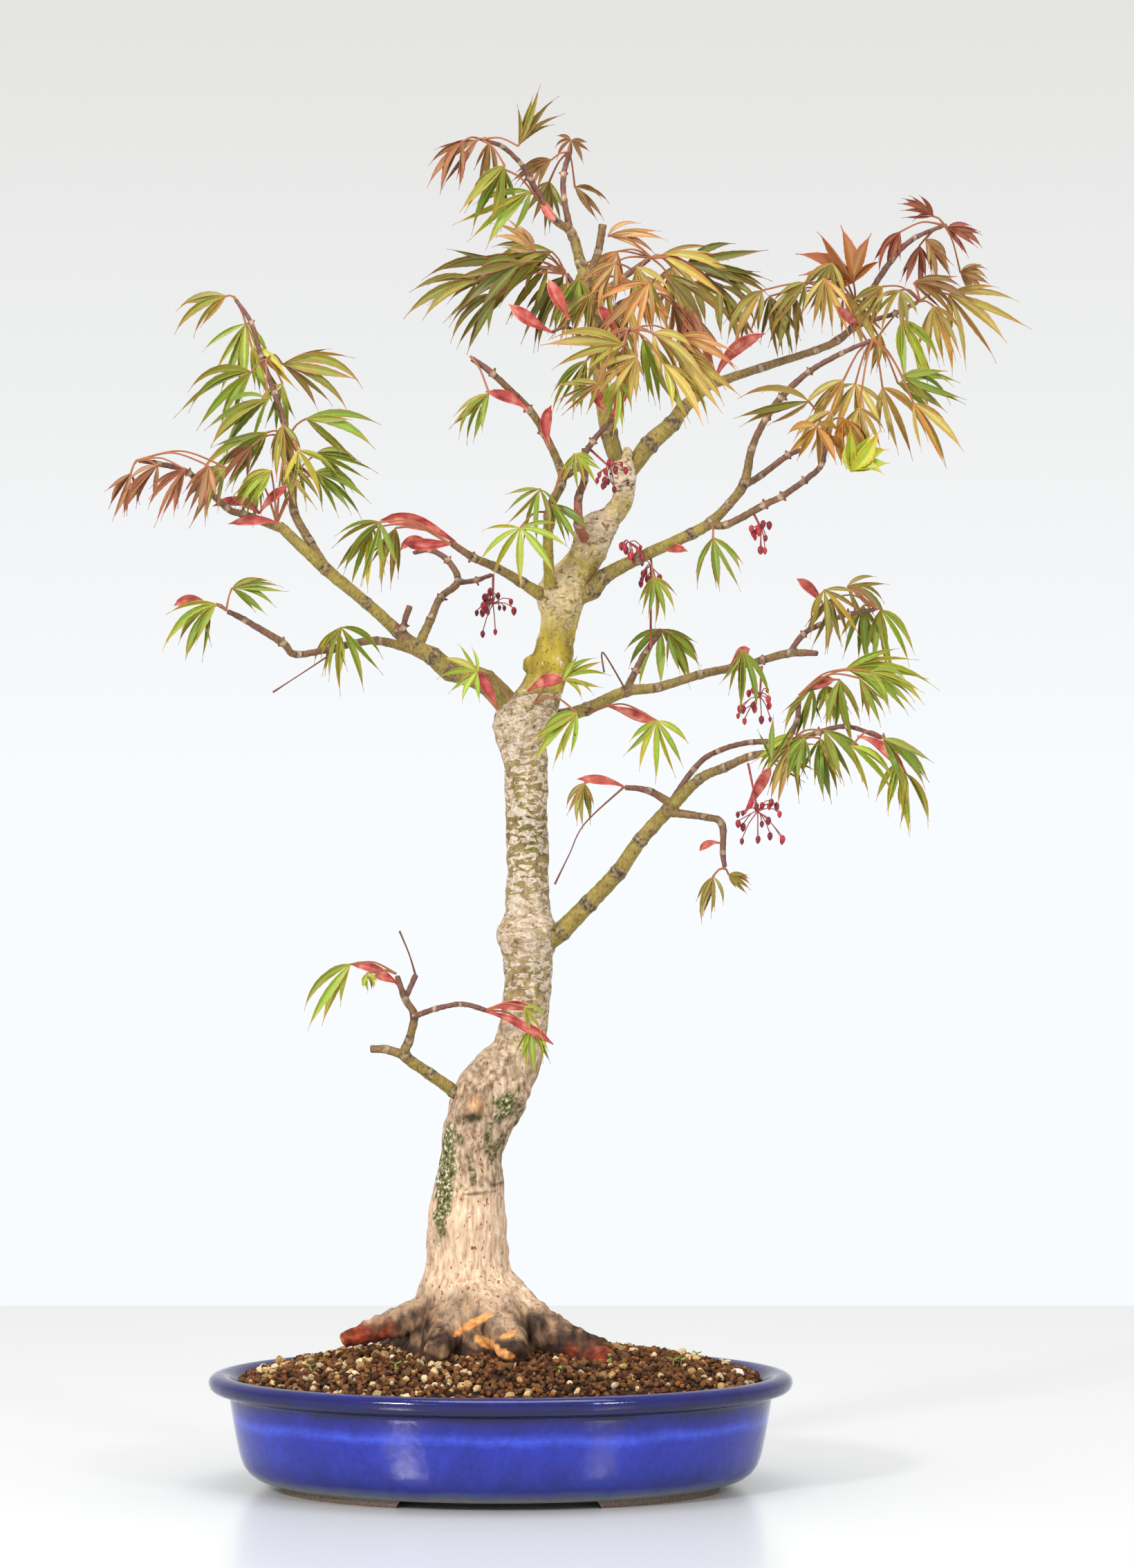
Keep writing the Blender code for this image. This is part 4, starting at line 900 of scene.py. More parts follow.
limb_bark, tree, shader = new_material("limb_bark", 0.55)
speckle = grained(tree, [
    (0.3, (0.5, 0.46, 0.42)), (0.5, ALL), (0.8, (1.3, 1.28, 1.22))], 900, 4, (1, 1, 0.6))
patchy = grained(tree, [(0.35, (0.78, 0.76, 0.72)), (0.65, (1.12, 1.1, 1.06))], 150)
tint = times(tree, times(tree, attribute(tree, "bark"), speckle), patchy)
tree.links.new(tint, shader.inputs["Base Color"])
bump_from(tree, shader, noise_of(tree, 1300), 0.0003, 0.7)

STOUT = linear(142, 124, 54)
YOUNG = linear(112, 72, 58)
RING = linear(204, 176, 146)
CREASE = linear(62, 44, 34)
BUD_RED = linear(132, 44, 40)
JOINT_SWELL = 0.13
LIMB_SKIN = 0.5
FAR_OFF = (9000, 0, 9000)
YOUNG_SHOOTS = {"shoot_red": linear(178, 100, 66), "shoot_green": linear(154, 140, 48)}


def side_buds(stem, dice):
    """Short stems for the pair of resting buds at each of a stem's thinner joints."""
    buds = []
    for before, joint, after in zip(stem, stem[1:], stem[2:]):
        if joint[3] > 2.1 or dice.random() < 0.45:
            continue
        run = math.atan2(after[2] - before[2], after[0] - before[0])
        for side in (-1, 1):
            reach = joint[3] + dice.uniform(1.0, 1.9)
            lean = run + side * math.pi / 2.6
            end = (joint[0] + reach * math.cos(lean), joint[1] - 0.4, joint[2] + reach * math.sin(lean))
            buds.append([(*joint[:3], 0.8), (*end, 0.55)])
    return buds


def finder(points):
    """What finds the nearest of these drawn points to a place in the scene."""
    places = KDTree(len(points))
    for index, point in enumerate(points):
        places.insert(stand(*point[:3]), index)
    places.balance()
    return places


for number, (limb_name, stems) in enumerate(LIMBS.items()):
    buds = [bud for stem in stems for bud in side_buds(stem, random.Random(40 + number))]
    mesh = grown_together(stems_mesh(stems + buds, 1.5, 3, JOINT_SWELL), LIMB_SKIN, 3)
    path = [point for stem in stems for point in smooth_path(stem, 5)]
    path_places = finder(path)
    joint_places = finder([point for stem in stems for point in stem[1:-1]])
    bud_places = finder([bud[1] for bud in buds] or [FAR_OFF])
    colours = []
    moved = []
    for vert in mesh.vertices:
        here = vert.co.copy()
        girth = path[path_places.find(here)[1]][3]
        colour = mixed(YOUNG, YOUNG_SHOOTS.get(limb_name, STOUT), clamp((girth - 1.6) / 1.4))
        away = joint_places.find(here)[2] - girth * 0.0008
        ring = math.exp(-(away / 0.0010) ** 2)
        colour = mixed(colour, RING, clamp(ring * (0.7 + 0.8 * noise.noise(here * 500))))
        crease = math.exp(-((away - 0.0011) / 0.0005) ** 2)
        colour = mixed(colour, CREASE, clamp(crease * (0.6 + noise.noise(here * 600))))
        bud = math.exp(-(bud_places.find(here)[2] / 0.0013) ** 2)
        colours.extend((*mixed(colour, BUD_RED, bud), 1.0))
        moved.extend(here + vert.normal * noise.noise(here * 420) * 0.00025)
    paint(mesh, "bark", colours)
    mesh.vertices.foreach_set("co", moved)
    piece_from(f"maple_{limb_name}", mesh, limb_bark, [limb_name])

# ---- Dry stalks ---------------------------------------------------------------------------
# Last year's leaf stalks, hair-thin and brown, still caught on the twigs, and a forked twiglet
# under the crown.
DRY_STALKS = [
    [(63.2, -36.2, 358.9, 0.6), (43, -44, 340, 0.4), (35, -46, 324, 0.35), (27.7, -44, 309, 0.6)],
    [(-83, -37, 430, 0.6), (-98, -50, 420, 0.4), (-108, -54, 413.5, 0.35), (-117, -56, 407.6, 0.6)],
    [(-43.7, -16, 262, 0.6), (-47, -20, 273, 0.4), (-52, -22, 285, 0.55)],
    [(64, 24, 409, 0.5), (52.5, 8, 428, 0.4), (53, 0, 418, 0.5)],
    [(49.2, 3, 585, 1.4), (41, -18, 590, 1.1), (34, -36, 595, 0.9), (26, -40, 592.5, 0.8)],
    [(34, -36, 595, 0.9), (35.2, -42, 599, 0.8)],
]
stalk_mesh = stems_mesh(DRY_STALKS, 1.5, 2)
paint(stalk_mesh, "bark", [*linear(112, 70, 50), 1.0] * len(stalk_mesh.vertices))
piece_from("maple_dry_stalks", stalk_mesh, limb_bark)

# ---- Leaves -------------------------------------------------------------------------------
# Palmate leaves of narrow, saw-edged lobes, each folded along its midrib, most hanging from the
# leaf's middle as new leaves do. The youngest are bronze and red, the older ones yellow-green.
TONES = {  # near the midrib, the blade, the edge and tip
    "bright": ((174, 194, 86), (106, 154, 36), (180, 142, 56)),
    "green": ((142, 170, 66), (80, 128, 34), (160, 122, 54)),
    "bronze_green": ((162, 166, 80), (112, 126, 44), (166, 106, 60)),
    "pink_bronze": ((160, 142, 84), (160, 108, 78), (158, 84, 66)),
    "bronze": ((164, 142, 80), (132, 104, 56), (148, 88, 62)),
    "olive": ((166, 166, 86), (108, 118, 42), (160, 110, 60)),
    "golden": ((198, 188, 112), (152, 142, 54), (186, 126, 72)),
    "golden_green": ((188, 188, 98), (130, 142, 44), (184, 130, 64)),
    "orange": ((208, 186, 120), (184, 142, 80), (184, 108, 68)),
    "dark": ((138, 148, 66), (78, 98, 36), (138, 96, 52)),
    "dry": ((214, 184, 132), (194, 154, 102), (174, 122, 74)),
    "brown": ((154, 112, 68), (130, 82, 52), (126, 68, 50)),
    "red_bronze": ((150, 102, 64), (126, 70, 52), (142, 62, 50)),
    "star_bronze": ((160, 110, 56), (146, 92, 46), (166, 84, 44)),
    "star_golden": ((176, 150, 62), (162, 128, 48), (168, 96, 40)),
    "cupped": ((190, 214, 84), (150, 196, 44), (190, 160, 60)),
}
PETIOLE_COLOUR = linear(156, 96, 62)
LOBE_ROWS = 16
LEAF_THICKNESS = 0.00022
VEIN_RIPPLE = 60.0
# The CAD node, the spray's bud, and its leaves as x, y, z, lean in degrees (0 right, 90 up), length,
# spread in degrees and tone
SPRAYS = {
    "leaves_apex_left": ((-10, -15.6, 691.3), [
        (9, -18, 688, 60, 34, 45, "bronze_green"), (-12, -22, 691, -140, 36, 35, "pink_bronze"),
        (-6, -4, 690, -95, 28, 40, "bronze"), (2, -25, 678, -120, 40, 45, "green"),
        (-20, -26, 690, -110, 32, 40, "pink_bronze")]),
    "leaves_apex_mid": ((19.2, -4.4, 660.2), [
        (15, -12, 665, -140, 46, 30, "bright"), (2, -6, 676, -100, 34, 40, "green")]),
    "leaves_apex_right": ((34.9, 14.6, 685), [
        (26, 14, 681, -145, 27, 55, "bronze"), (25, 22, 670, -100, 27, 70, "olive"),
        (38, 30, 667, -40, 24, 40, "bronze"), (36, 18, 691, -100, 14, 200, "bronze")]),
    "leaves_crown_left": ((33.2, 42.5, 622.5), [
        (4, 44, 628, -168, 50, 34, "dark"), (-12, 44, 619, -158, 42, 40, "olive"),
        (8, 52, 622, -146, 44, 40, "dark"), (24, 52, 626, -138, 42, 45, "bronze_green"),
        (32, 65, 621, -118, 42, 50, "dark"), (20, 48, 632, -162, 46, 36, "olive"),
        (-2, 48, 612, -128, 36, 50, "dark"), (26, 44, 634, -150, 44, 50, "green"),
        (34, 30, 618, -95, 30, 70, "olive"), (10, 34, 628, -150, 40, 40, "dark"),
        (17, 24, 634, 140, 29, 30, "dry")]),
    "leaves_crown_front": ((75, -23, 612.5), [
        (59, -45, 628, -115, 27, 90, "orange"), (76, -56, 618, -130, 40, 80, "orange"),
        (88, -34, 607, -65, 44, 40, "pink_bronze"), (52, -25, 621, -95, 30, 60, "golden"),
        (66, -30, 606, -110, 34, 70, "golden"), (46, -34, 612, -120, 36, 60, "olive"),
        (40, -28, 620, -100, 34, 55, "green"), (58, -36, 600, -90, 36, 60, "golden_green"),
        (84, -40, 622, -40, 40, 50, "olive"), (96, -36, 602, -70, 36, 55, "pink_bronze"),
        (70, -44, 626, -70, 34, 60, "golden_green")]),
    "leaves_crown_right": ((77.2, 31.6, 630.8), [
        (82, 35, 632, -15, 46, 30, "golden"), (98, 60, 618, -40, 38, 40, "olive"),
        (55, 40, 642, 0, 31, 30, "dry"), (70, 20, 622, -60, 36, 60, "orange"),
        (88, 44, 626, -95, 34, 60, "golden"), (60, 26, 634, -120, 34, 70, "orange"),
        (104, 42, 622, -20, 38, 50, "dark"), (112, 44, 616, -62, 36, 60, "bronze_green"),
        (96, 40, 628, -5, 44, 40, "dark"), (50, 24, 622, -100, 32, 60, "olive"),
        (92, 36, 610, -80, 34, 60, "golden_green"), (44, 34, 628, -80, 30, 60, "green")]),
    "leaves_crown_low": ((66.4, -68, 594.2), [
        (63, -85, 586, -175, 46, 30, "golden_green"), (50, -98, 566, -150, 27, 70, "olive"),
        (78, -66, 592, -50, 44, 45, "golden"), (90, -66, 582, -45, 44, 40, "golden"),
        (64, -75, 586, -95, 32, 60, "golden"), (73, -56, 589, -70, 38, 50, "bright"),
        (70, -84, 580, -125, 34, 60, "golden"), (44, -80, 578, -120, 34, 55, "green"),
        (84, -72, 576, -60, 40, 50, "golden_green"), (60, -84, 568, -95, 30, 60, "bright"),
        (92, -60, 590, -35, 40, 45, "orange"), (54, -70, 590, -100, 30, 60, "golden_green")]),
    "leaves_shoot_green": ((-15.6, -40.7, 580.2), [
        (-6, -48, 561, -125, 32, 45, "green")]),
    "leaves_left_top": ((-137, 30.7, 610.6), [
        (-141, 32, 611, -150, 35, 35, "bronze_green"), (-131, 38, 597, -100, 42, 85, "bright"),
        (-128, 24, 585, -60, 34, 60, "bright")]),
    "leaves_left_mid": ((-120.6, 14.4, 578.4), [
        (-128, 6, 572, -145, 44, 60, "green"), (-112, 40, 576, -15, 46, 65, "bronze_green"),
        (-120, -2, 558, -140, 46, 50, "green"), (-112, 16, 566, -100, 30, 60, "bright")]),
    "leaves_left_base": ((-109.5, 4.6, 538), [
        (-120, -8, 541, -140, 46, 45, "green"), (-100, -1, 548, -20, 42, 40, "green"),
        (-104, -16, 532, -70, 32, 100, "bright"), (-112, -4, 545, -85, 30, 60, "bronze_green"),
        (-128, -14, 534, -130, 28, 40, "brown")]),
    "leaves_left_tip": ((-187, -62.4, 526.6), [
        (-162, -66, 522, -125, 32, 50, "pink_bronze"), (-190, -64, 520, -110, 26, 60, "pink_bronze"),
        (-141, -50, 523, -125, 36, 40, "olive"), (-150, -56, 524, -105, 30, 50, "pink_bronze"),
        (-176, -64, 524, -130, 30, 50, "pink_bronze")]),
    "leaves_left_lower": ((-115, -20.5, 494.5), [
        (-118, -33, 521.5, -135, 30, 45, "bright"), (-96, 8, 520, -40, 34, 70, "green"),
        (-95, 12, 530, -30, 34, 50, "green"), (-126, -26, 520, -100, 28, 60, "bright"),
        (-112, -16, 526, -60, 30, 60, "bronze_green")]),
    "leaves_twig_collar": ((-25.6, -34, 483.4), [
        (-62, -50, 495, -120, 38, 100, "green"), (-54, -40, 492, -105, 32, 55, "olive"),
        (-66, -46, 492, -100, 34, 70, "bright")]),
    "leaves_low_left": ((-141, -70.6, 449.6), [
        (-146, -76, 453, -140, 42, 35, "bright"), (-138, -66, 461, -10, 30, 65, "green"),
        (-150, -72, 452, -110, 30, 50, "green")]),
    "leaves_left_under": ((-83, -37.5, 429), [
        (-82, -44, 441, -70, 36, 100, "green"), (-84, -40, 440, -100, 28, 60, "bright")]),
    "leaves_right_top": ((228, 66.4, 647.2), [
        (222, 62, 652, 155, 21, 50, "red_bronze"), (229, 76, 646, -25, 23, 65, "red_bronze"),
        (215, 66, 637, -95, 26, 65, "red_bronze"), (236, 80, 623, -20, 18, 100, "bronze"),
        (205, 58, 644, -120, 25, 50, "red_bronze"), (218, 64, 640, -60, 24, 60, "bronze")]),
    "leaves_right_upper": ((215.2, 44.5, 608.4), [
        (230, 56, 612, -40, 46, 90, "golden"), (206, 34, 599, -70, 42, 50, "bright"),
        (205, 28, 614, -110, 26, 110, "olive"), (195, 40, 592, -100, 24, 50, "olive"),
        (222, 48, 606, -75, 36, 60, "golden"), (196, 30, 616, -130, 30, 60, "olive"),
        (212, 46, 618, -20, 34, 50, "bronze")]),
    "leaves_right_star": ((182.4, 48, 606.6), [
        (181, 36, 618, 120, 34, 150, "star_bronze"), (166, 24, 620, -80, 34, 75, "golden"),
        (170, 30, 628, -110, 34, 70, "olive"), (176, 34, 612, -60, 36, 60, "golden"),
        (150, 34, 612, -100, 36, 60, "olive"), (138, 34, 611, -75, 36, 60, "dark"),
        (134, 30, 614, -120, 34, 60, "bronze_green"), (156, 26, 618, -130, 28, 60, "olive")]),
    "leaves_right_mid": ((191, -52.2, 588.9), [
        (182, -40, 566, -95, 36, 110, "golden"), (184, -58, 554, -85, 34, 90, "golden"),
        (204, -34, 566, -15, 37, 40, "green"), (212, -50, 556, -55, 40, 40, "golden"),
        (176, -44, 568, -130, 34, 60, "golden"), (196, -40, 564, -60, 38, 60, "golden"),
        (206, -46, 570, -20, 36, 40, "green")]),
    "leaves_right_inner": ((166.2, -54.2, 540.2), [
        (162, -84, 544, -90, 24, 150, "star_golden"), (158, -66, 557, -170, 42, 35, "olive"),
        (180, -90, 521, 50, 27, 110, "cupped"), (170, -72, 552, -120, 30, 60, "golden"),
        (176, -78, 548, -70, 30, 60, "star_golden")]),
    "leaves_shoot_mid": ((24, -26.5, 500), [
        (10, -46, 492, -85, 34, 190, "bright"), (20, -36, 512, -110, 30, 120, "green"),
        (38, -38, 530, -70, 20, 110, "bright"), (26, -34, 504, -50, 26, 60, "green")]),
    "leaves_collar_left": ((5, -11.8, 405), [
        (-12, -30, 418, -175, 23, 170, "bright")]),
    "leaves_collar_right": ((17, -11, 402), [
        (32, -35, 414, 10, 25, 95, "bright"), (39, -44, 397, -130, 35, 60, "bright")]),
    "leaves_second_twig": ((45, 16.8, 397), [
        (80, -14, 393, -90, 32, 110, "bright")]),
    "leaves_second_top": ((82.6, 52.8, 439), [
        (82, 56, 440, -85, 34, 125, "bright"), (86, 54, 438, -60, 28, 60, "green")]),
    "leaves_mid_hang": ((77, -10.5, 476), [
        (78, -20, 467, -80, 26, 80, "green")]),
    "leaves_mid_low": ((109, -26, 493), [
        (109, -38, 487, -80, 32, 80, "green")]),
    "leaves_second_mid": ((121, 40.5, 422.6), [
        (124, 20, 429, -85, 34, 70, "green")]),
    "leaves_second_tip": ((193, 74.6, 450.2), [
        (166, 50, 460, -65, 31, 110, "golden_green"), (195, 80, 450, -75, 39, 70, "bright"),
        (178, 90, 462, -30, 26, 90, "olive"), (186, 80, 452, -90, 34, 60, "green"),
        (170, 56, 456, -100, 32, 60, "olive")]),
    "leaves_low_up": ((153.2, -44, 406), [
        (177, -51, 419.5, -10, 52, 55, "bright"), (184, -74, 415, -60, 30, 40, "green"),
        (167, -40, 411, -75, 24, 80, "bright"), (160, -46, 410, -110, 30, 60, "green"),
        (174, -60, 414, -85, 34, 60, "green"), (190, -62, 418, -35, 36, 40, "bright")]),
    "leaves_low_far": ((197, -60.2, 383.7), [
        (208, -62, 366, -80, 34, 45, "bright"), (180, -98, 380, -50, 34, 40, "bright"),
        (196, -78, 384, -45, 36, 50, "green"), (204, -66, 372, -100, 30, 50, "bright")]),
    "leaves_low_mid": ((144.6, -58.4, 377.2), [
        (139, -86, 372, 40, 30, 140, "green"), (156, -96, 384, -110, 26, 55, "green"),
        (164, -74, 384, -85, 34, 55, "green"), (148, -90, 380, -95, 32, 60, "olive"),
        (166, -84, 388, -55, 36, 50, "green"), (150, -70, 386, -130, 30, 50, "bright")]),
    "leaves_low_down": ((115, -48.4, 317.2), [
        (109, -56, 313, -100, 24, 50, "olive"), (117, -46, 314, -30, 14, 45, "bronze_green")]),
    "leaves_low_twig": ((63.2, -36.2, 358.9), [
        (43, -40, 361, -95, 24, 60, "olive")]),
    "leaves_basal_left": ((-53.7, -23.2, 263), [
        (-77, -32, 268, -125, 39, 35, "bright"), (-69, -27, 263, -75, 10, 80, "bright")]),
    "leaves_basal_front": ((-7, -37.6, 244.2), [
        (12, -44, 246, -50, 16, 40, "bright"), (15, -38, 235, -80, 24, 70, "bright")]),
}


def lobe_path(hub, angle, reach, arch, slope):
    """The lobe's midrib on the drawn elevation: places and headings from the hub to the tip."""
    x, y, z = hub
    step = reach / LOBE_ROWS
    path = []
    for row in range(LOBE_ROWS + 1):
        share = row / LOBE_ROWS
        heading = math.radians(angle + arch * (share - 0.4))
        path.append((x, y, z, heading))
        x += step * math.cos(heading)
        y += step * slope * (0.5 + share)
        z += step * math.sin(heading)
    return path


def lobe(work, layer, dice, hub, angle, reach, width, slope, tone):
    """One narrow lobe from the hub: folded on its midrib, saw-edged, drawn out to a thread at the tip."""
    near_rib, blade, margin = (linear(*shade) for shade in TONES[tone])
    grid = bmesh.ops.create_grid(work, x_segments=4, y_segments=LOBE_ROWS, size=1)["verts"]
    arch = -math.cos(math.radians(angle)) * dice.uniform(10, 80) + dice.uniform(-20, 20)
    path = lobe_path(hub, angle, reach, arch, slope)
    fold = math.radians(dice.uniform(22, 62))
    roll = math.radians(dice.uniform(-48, 48))
    shade = dice.uniform(0.78, 1.18)
    rust = dice.uniform(0.0, 0.4) if dice.random() < 0.45 else 0.0
    for vert in grid:
        across, share = vert.co.x, (vert.co.y + 1) / 2
        row = round(share * LOBE_ROWS)
        x, y, z, heading = path[row]
        body = math.sin(math.pi * (share / 0.92) ** 0.85) if share < 0.92 else 0.0
        tooth = 1.0
        if abs(across) > 0.9 and 0.1 < share < 0.88:
            tooth = 1.05 if row % 2 else 0.97
        half = width / 2 * max(body * tooth, 0.16 - 0.1 * share)
        flat = half * across * math.cos(fold)
        lift = half * abs(across) * math.sin(fold)
        aside = flat * math.cos(roll) - lift * math.sin(roll)
        toward = flat * math.sin(roll) + lift * math.cos(roll)
        vert.co = stand(x - math.sin(heading) * aside, y - toward, z + math.cos(heading) * aside)
        rib = 1 - min(1.0, abs(across) * 1.7)
        tint = mixed(blade, near_rib, clamp(rib * 0.75 + 0.35 * (1 - share) ** 2))
        edge = max((abs(across) - 0.45) * 1.3, (share - 0.6) * 2.3, 0.0)
        tint = mixed(tint, margin, clamp(edge + rust))
        vert[layer] = (*(c * shade for c in tint), share)


def leaf_blade(work, layer, dice, leaf):
    """One palmate leaf: five or seven lobes fanned from its hub, the outer ones shorter."""
    x, y, z, lean, length, spread, tone = leaf
    broad = tone.startswith("star") or tone == "cupped"
    count = 7 if spread >= 44 or broad else 5
    fan = max(spread, 50 if length > 22 else 70)
    slope = dice.uniform(-0.4, 0.4)
    width = max(4.2, min(length * 0.155, 6.4))
    if broad:
        width = length * (0.42 if tone == "cupped" else 0.29)
    for i in range(count):
        share = i / (count - 1) * 2 - 1
        angle = lean + share * fan / 2 + dice.uniform(-7, 7)
        reach = length * (1 - 0.36 * abs(share) ** 1.7) * dice.uniform(0.86, 1.08)
        depth = slope * share + dice.uniform(-0.3, 0.3)
        lobe(work, layer, dice, (x, y, z), angle, reach, width * (1 - 0.28 * abs(share)), depth, tone)


leaf_skin, tree, shader = new_material("maple_leaf", 0.46)
shader.inputs["Specular IOR Level"].default_value = 0.42
blotch = grained(tree, [(0.3, (0.95, 0.96, 0.93)), (0.7, (1.08, 1.08, 1.04))], 300)
rust = grained(tree, [(0.54, ALL), (0.72, (1.08, 0.88, 0.78))], 60, 2)
tint = times(tree, times(tree, attribute(tree, "leaf"), blotch), rust)
tree.links.new(tint, shader.inputs["Base Color"])
vein = sum_of(tree, "MULTIPLY", attribute(tree, "leaf", "Alpha"), VEIN_RIPPLE)
bump_from(tree, shader, sum_of(tree, "SINE", vein), 0.00004, 0.12)


def colour_new(work, layer, before, colour):
    """One colour on every vertex that a bmesh has gained since it had this many."""
    work.verts.ensure_lookup_table()
    for vert in work.verts[before:]:
        vert[layer] = colour


for number, (spray_name, (bud, leaves)) in enumerate(SPRAYS.items()):
    dice = random.Random(100 + number)
    work = bmesh.new()
    layer = work.verts.layers.float_color.new("leaf")
    for leaf in leaves:
        leaf_blade(work, layer, dice, leaf)
    bmesh.ops.solidify(work, geom=work.faces[:], thickness=LEAF_THICKNESS)
    bmesh.ops.recalc_face_normals(work, faces=work.faces)
    petioles = []
    for leaf in leaves:
        hub = leaf[:3]
        rise = 0.14 * math.dist(bud, hub)
        middle = tuple((a + b) / 2 + extra for a, b, extra in zip(bud, hub, (0, 0, rise)))
        petioles.append([(*bud, 0.75), (*middle, 0.5), (*hub, 0.6)])
    before = len(work.verts)
    work.from_mesh(stems_mesh(petioles, 2.5, 1))
    colour_new(work, layer, before, (*PETIOLE_COLOUR, 0.5))
    name = f"maple_{spray_name}"
    piece_from(name, mesh_from(work, name), leaf_skin, [spray_name], crisp=True)

# ---- Bud scales ---------------------------------------------------------------------------
# Soft pink-red straps that wrapped the winter buds, with pale veins along them, curling away
# from the base of the new leaves. Each strap has a start, a middle, an end and a width.
SCALES = {
    "bud_scales_collar": ([
        ((-23.5, -28.6, 484.6), (-42, -31, 499), (-62, -32, 496), 8),
        ((-23.5, -28.6, 484.6), (-36, -27, 483), (-50, -28, 484), 6)], ["bud_scales_collar"]),
    "bud_scales_left_tip": ([
        ((-124, -25, 499.5), (-134, -22, 510), (-148, -24, 503), 5),
        ((-124, -25, 499.5), (-119, -22, 508), (-109, -24, 514), 5),
        ((-114, -22, 494), (-122, -30, 498), (-140, -34, 494), 5),
        ((-124, -25, 499.5), (-128, -28, 505), (-138, -30, 508), 5)], ["bud_scales_left_tip"]),
    "bud_scales_basal": ([
        ((-51.5, -19.6, 256), (-62, -18, 268), (-78, -15, 268), 5),
        ((-51.5, -21, 257), (-58, -22, 262), (-66, -22, 262), 4),
        ((-8, -37, 244.5), (4, -41, 249), (18, -41, 245), 5),
        ((-8, -37, 244), (10, -42, 240), (27, -39, 227), 5)], ["bud_scales_basal"]),
    "bud_scales_crown": ([
        ((57.6, -13, 549), (63, -22, 562), (64, -28, 574), 9),
        ((57.6, -13, 549), (50, -20, 556), (47, -24, 566), 6),
        ((35.2, -42, 599), (30, -42, 609), (24, -44, 620), 7),
        ((26, -40, 592.5), (15, -42, 598), (4, -44, 607), 7),
        ((110, 22, 568), (116, 12, 586), (136, 6, 592), 7),
        ((60, -40, 590), (56, -44, 600), (50, -46, 606), 6),
        ((14, -36, 552), (8, -38, 560), (-8, -40, 562), 6),
        ((26, -30, 532), (20, -34, 545), (26, -36, 555), 6),
        ((20, 0, 664), (22, -4, 656), (28, -6, 650), 5)], []),
    "bud_scales_right": ([
        ((118, 40, 421), (123, 36, 429), (128, 34, 430), 6),
        ((77, -8, 480), (86, -16, 484), (96, -20, 480), 5),
        ((54, 18, 401), (68, 8, 397), (80, -4, 392), 6),
        ((153, -44, 405), (162, -42, 414), (172, -42, 414), 6),
        ((183, -58, 385), (196, -62, 384), (208, -64, 366), 6),
        ((125, -42, 345), (133, -60, 360), (139, -80, 370), 6),
        ((64, -36, 358.7), (54, -38, 364), (39, -40, 363), 5),
        ((113, -46, 330), (106, -50, 332), (102, -50, 326), 4),
        ((-2, -22, 399), (-6, -26, 410), (-12, -30, 418), 6),
        ((14, -12, 408), (22, -24, 416), (33, -34, 414), 7),
        ((-150, -60, 452), (-158, -66, 458), (-168, -70, 452), 6),
        ((188, 50, 588), (180, 20, 600), (172, 10, 606), 5),
        ((-34, 44, 480), (-44, 42, 492), (-52, 44, 480), 5),
        ((166, 56, 452), (160, 60, 462), (152, 60, 466), 5)], []),
}
SCALE_THICKNESS = 0.0004
scale_skin, tree, shader = new_material("bud_scale_skin", 0.42)
shader.inputs["Subsurface Weight"].default_value = 0.04
shader.inputs["Subsurface Radius"].default_value = (1.0, 0.5, 0.4)
shader.inputs["Subsurface Scale"].default_value = 0.002
pinks = grained(tree, [
    (0.3, linear(146, 48, 46)), (0.5, linear(190, 88, 80)), (0.72, linear(220, 150, 130))], 150, 2)
lines = ramp(tree, attribute(tree, "vein", "Fac"), [(0.2, (0.68, 0.5, 0.5)), (0.8, (1.2, 1.24, 1.16))])
tree.links.new(times(tree, pinks, lines), shader.inputs["Base Color"])
bump_from(tree, shader, attribute(tree, "vein", "Fac"), 0.0002, 0.5)

for scales_name, (straps, nodes) in SCALES.items():
    work = bmesh.new()
    layer = work.verts.layers.float.new("vein")
    for start, middle, end, width in straps:
        grid = bmesh.ops.create_grid(work, x_segments=6, y_segments=14, size=1)["verts"]
        for vert in grid:
            across, t = vert.co.x, (vert.co.y + 1) / 2
            a, b, c = (1 - t) ** 2, 2 * t * (1 - t), t * t
            x, y, z = (a * p + b * q + c * r for p, q, r in zip(start, middle, end))
            toward = [(1 - t) * (q - p) + t * (r - q) for p, q, r in zip(start, middle, end)]
            run = math.atan2(toward[2], toward[0])
            half = width / 2 * (0.2 + 0.8 * math.sin(math.pi * min(1, 0.02 + 0.9 * t ** 1.3)) ** 1.5)
            half *= 1 - 0.85 * max(0.0, (t - 0.86) / 0.14)
            cup = half * 0.7 * across * across - half * 0.5 * max(0.0, t - 0.7) * 3
            vert.co = stand(x - math.sin(run) * half * across, y - cup, z + math.cos(run) * half * across)
            vert[layer] = 0.5 + 0.5 * math.sin(across * 9)
    bmesh.ops.solidify(work, geom=work.faces[:], thickness=SCALE_THICKNESS)
    bmesh.ops.recalc_face_normals(work, faces=work.faces)
    name = f"maple_{scales_name}"
    piece_from(name, mesh_from(work, name), scale_skin, nodes, crisp=True)

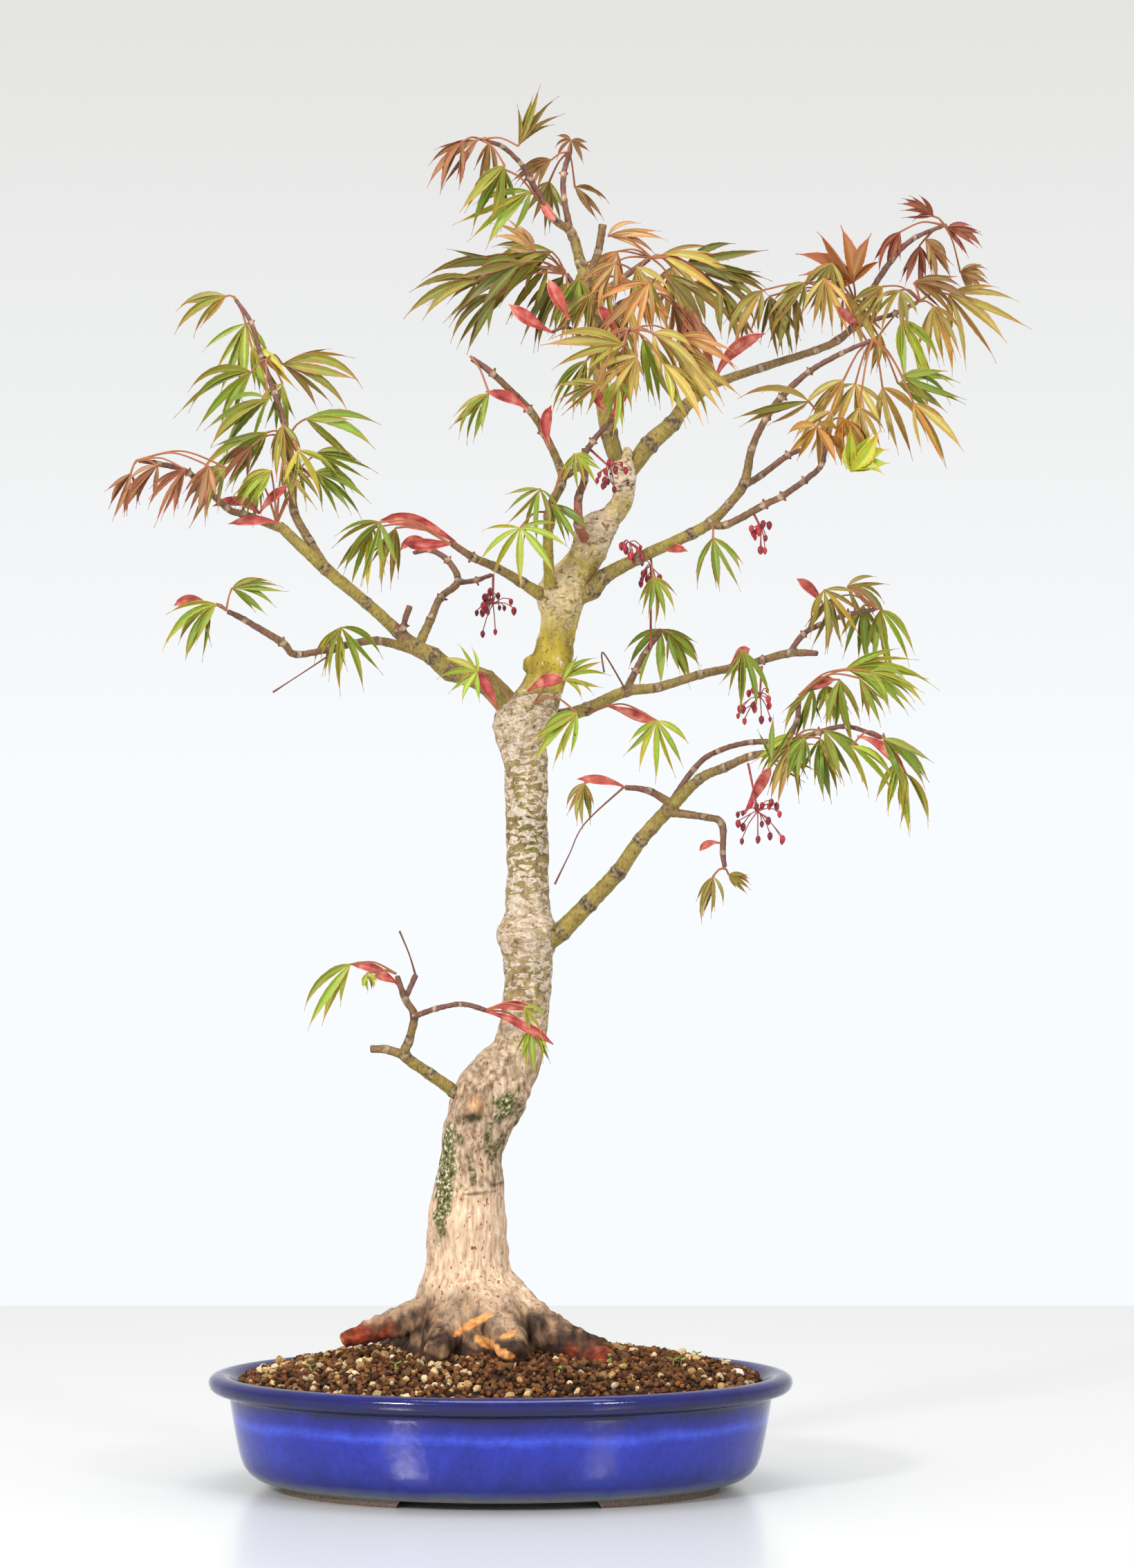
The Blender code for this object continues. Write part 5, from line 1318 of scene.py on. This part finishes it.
# ---- Flowers ------------------------------------------------------------------------------
# Hanging clusters of dark red buds the size of a match head, each on its own thread-like stalk.
# Each cluster: where it leaves the twig, its middle, its half width and its number of stalks
FLOWERS = {
    "flowers_left": ((-3.9, 36.3, 468.3), (-4, 40, 448), 14, 13),
    "flowers_low_right": ((127, -50.5, 371), (132, -62, 342), 13, 14),
    "flowers_second_right": ((134, 44.5, 421), (133, 34, 402), 10, 10),
    "flowers_middle_right": ((130, -31, 499), (134, -30, 488), 9, 8),
    "flowers_front": ((44, -12, 534), (56, -30, 520), 9, 8),
    "flowers_collar": ((75, -11, 478), (66, -22, 482), 7, 6),
    "flowers_twig": ((77, 42, 430), (77, 44, 470), 7, 6),
}
flower_skin, tree, shader = new_material("flower_skin", 0.4)
bloom = grained(tree, [(0.3, (0.7, 0.6, 0.6)), (0.7, (1.25, 1.1, 1.1))], 700, 3)
tree.links.new(times(tree, attribute(tree, "leaf"), bloom), shader.inputs["Base Color"])
bump_from(tree, shader, noise_of(tree, 1500, 2), 0.0002, 0.4)
FLOWER_STALK = linear(150, 66, 62)
FLOWER_BUDS = [linear(140, 24, 40), linear(116, 18, 34), linear(170, 44, 52)]

for number, (flowers_name, (base, middle, half_width, count)) in enumerate(FLOWERS.items()):
    dice = random.Random(700 + number)
    work = bmesh.new()
    layer = work.verts.layers.float_color.new("leaf")
    x, y, z = middle
    top = (x, y, z + half_width * 0.35)
    stalks = [[(*base, 0.7), (*mixed(base, top, 0.5), 0.6), (*top, 0.5)]]
    ends = []
    for index in range(count):
        turn = dice.uniform(0, math.tau)
        out = half_width * dice.uniform(0.35, 1.0)
        height = z + half_width * dice.uniform(-0.95, 0.8)
        end = (x + out * math.cos(turn), y + out * math.sin(turn) * 0.9, height)
        fork = mixed(top, end, dice.uniform(0.35, 0.6))
        stalks.append([(*top, 0.35), (fork[0], fork[1], fork[2] + 1.8, 0.28), (*end, 0.3)])
        ends.append(end)
        if dice.random() < 0.5:
            aside = (dice.uniform(-4, 4), dice.uniform(-3, 3), dice.uniform(-1, 3))
            twin = tuple(a + b for a, b in zip(end, aside))
            stalks.append([(fork[0], fork[1], fork[2] + 1.8, 0.28), (*twin, 0.28)])
            ends.append(twin)
    work.from_mesh(stems_mesh(stalks, 2, 1))
    colour_new(work, layer, 0, (*FLOWER_STALK, 1))
    for end in ends:
        before = len(work.verts)
        bud_verts = bmesh.ops.create_icosphere(work, subdivisions=2, radius=1)["verts"]
        size = dice.uniform(1.2, 2.0)
        for vert in bud_verts:
            point = vert.co
            pointed = 1 - 0.35 * max(0.0, -point.z)
            waist = size * 0.8 * pointed
            vert.co = stand(end[0] + point.x * waist, end[1] + point.y * waist,
                            end[2] - size * 0.8 + point.z * size * 1.25)
        colour_new(work, layer, before, (*dice.choice(FLOWER_BUDS), 1))
    name = f"maple_{flowers_name}"
    stands_for = [flowers_name] if flowers_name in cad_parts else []
    piece_from(name, mesh_from(work, name), flower_skin, stands_for)
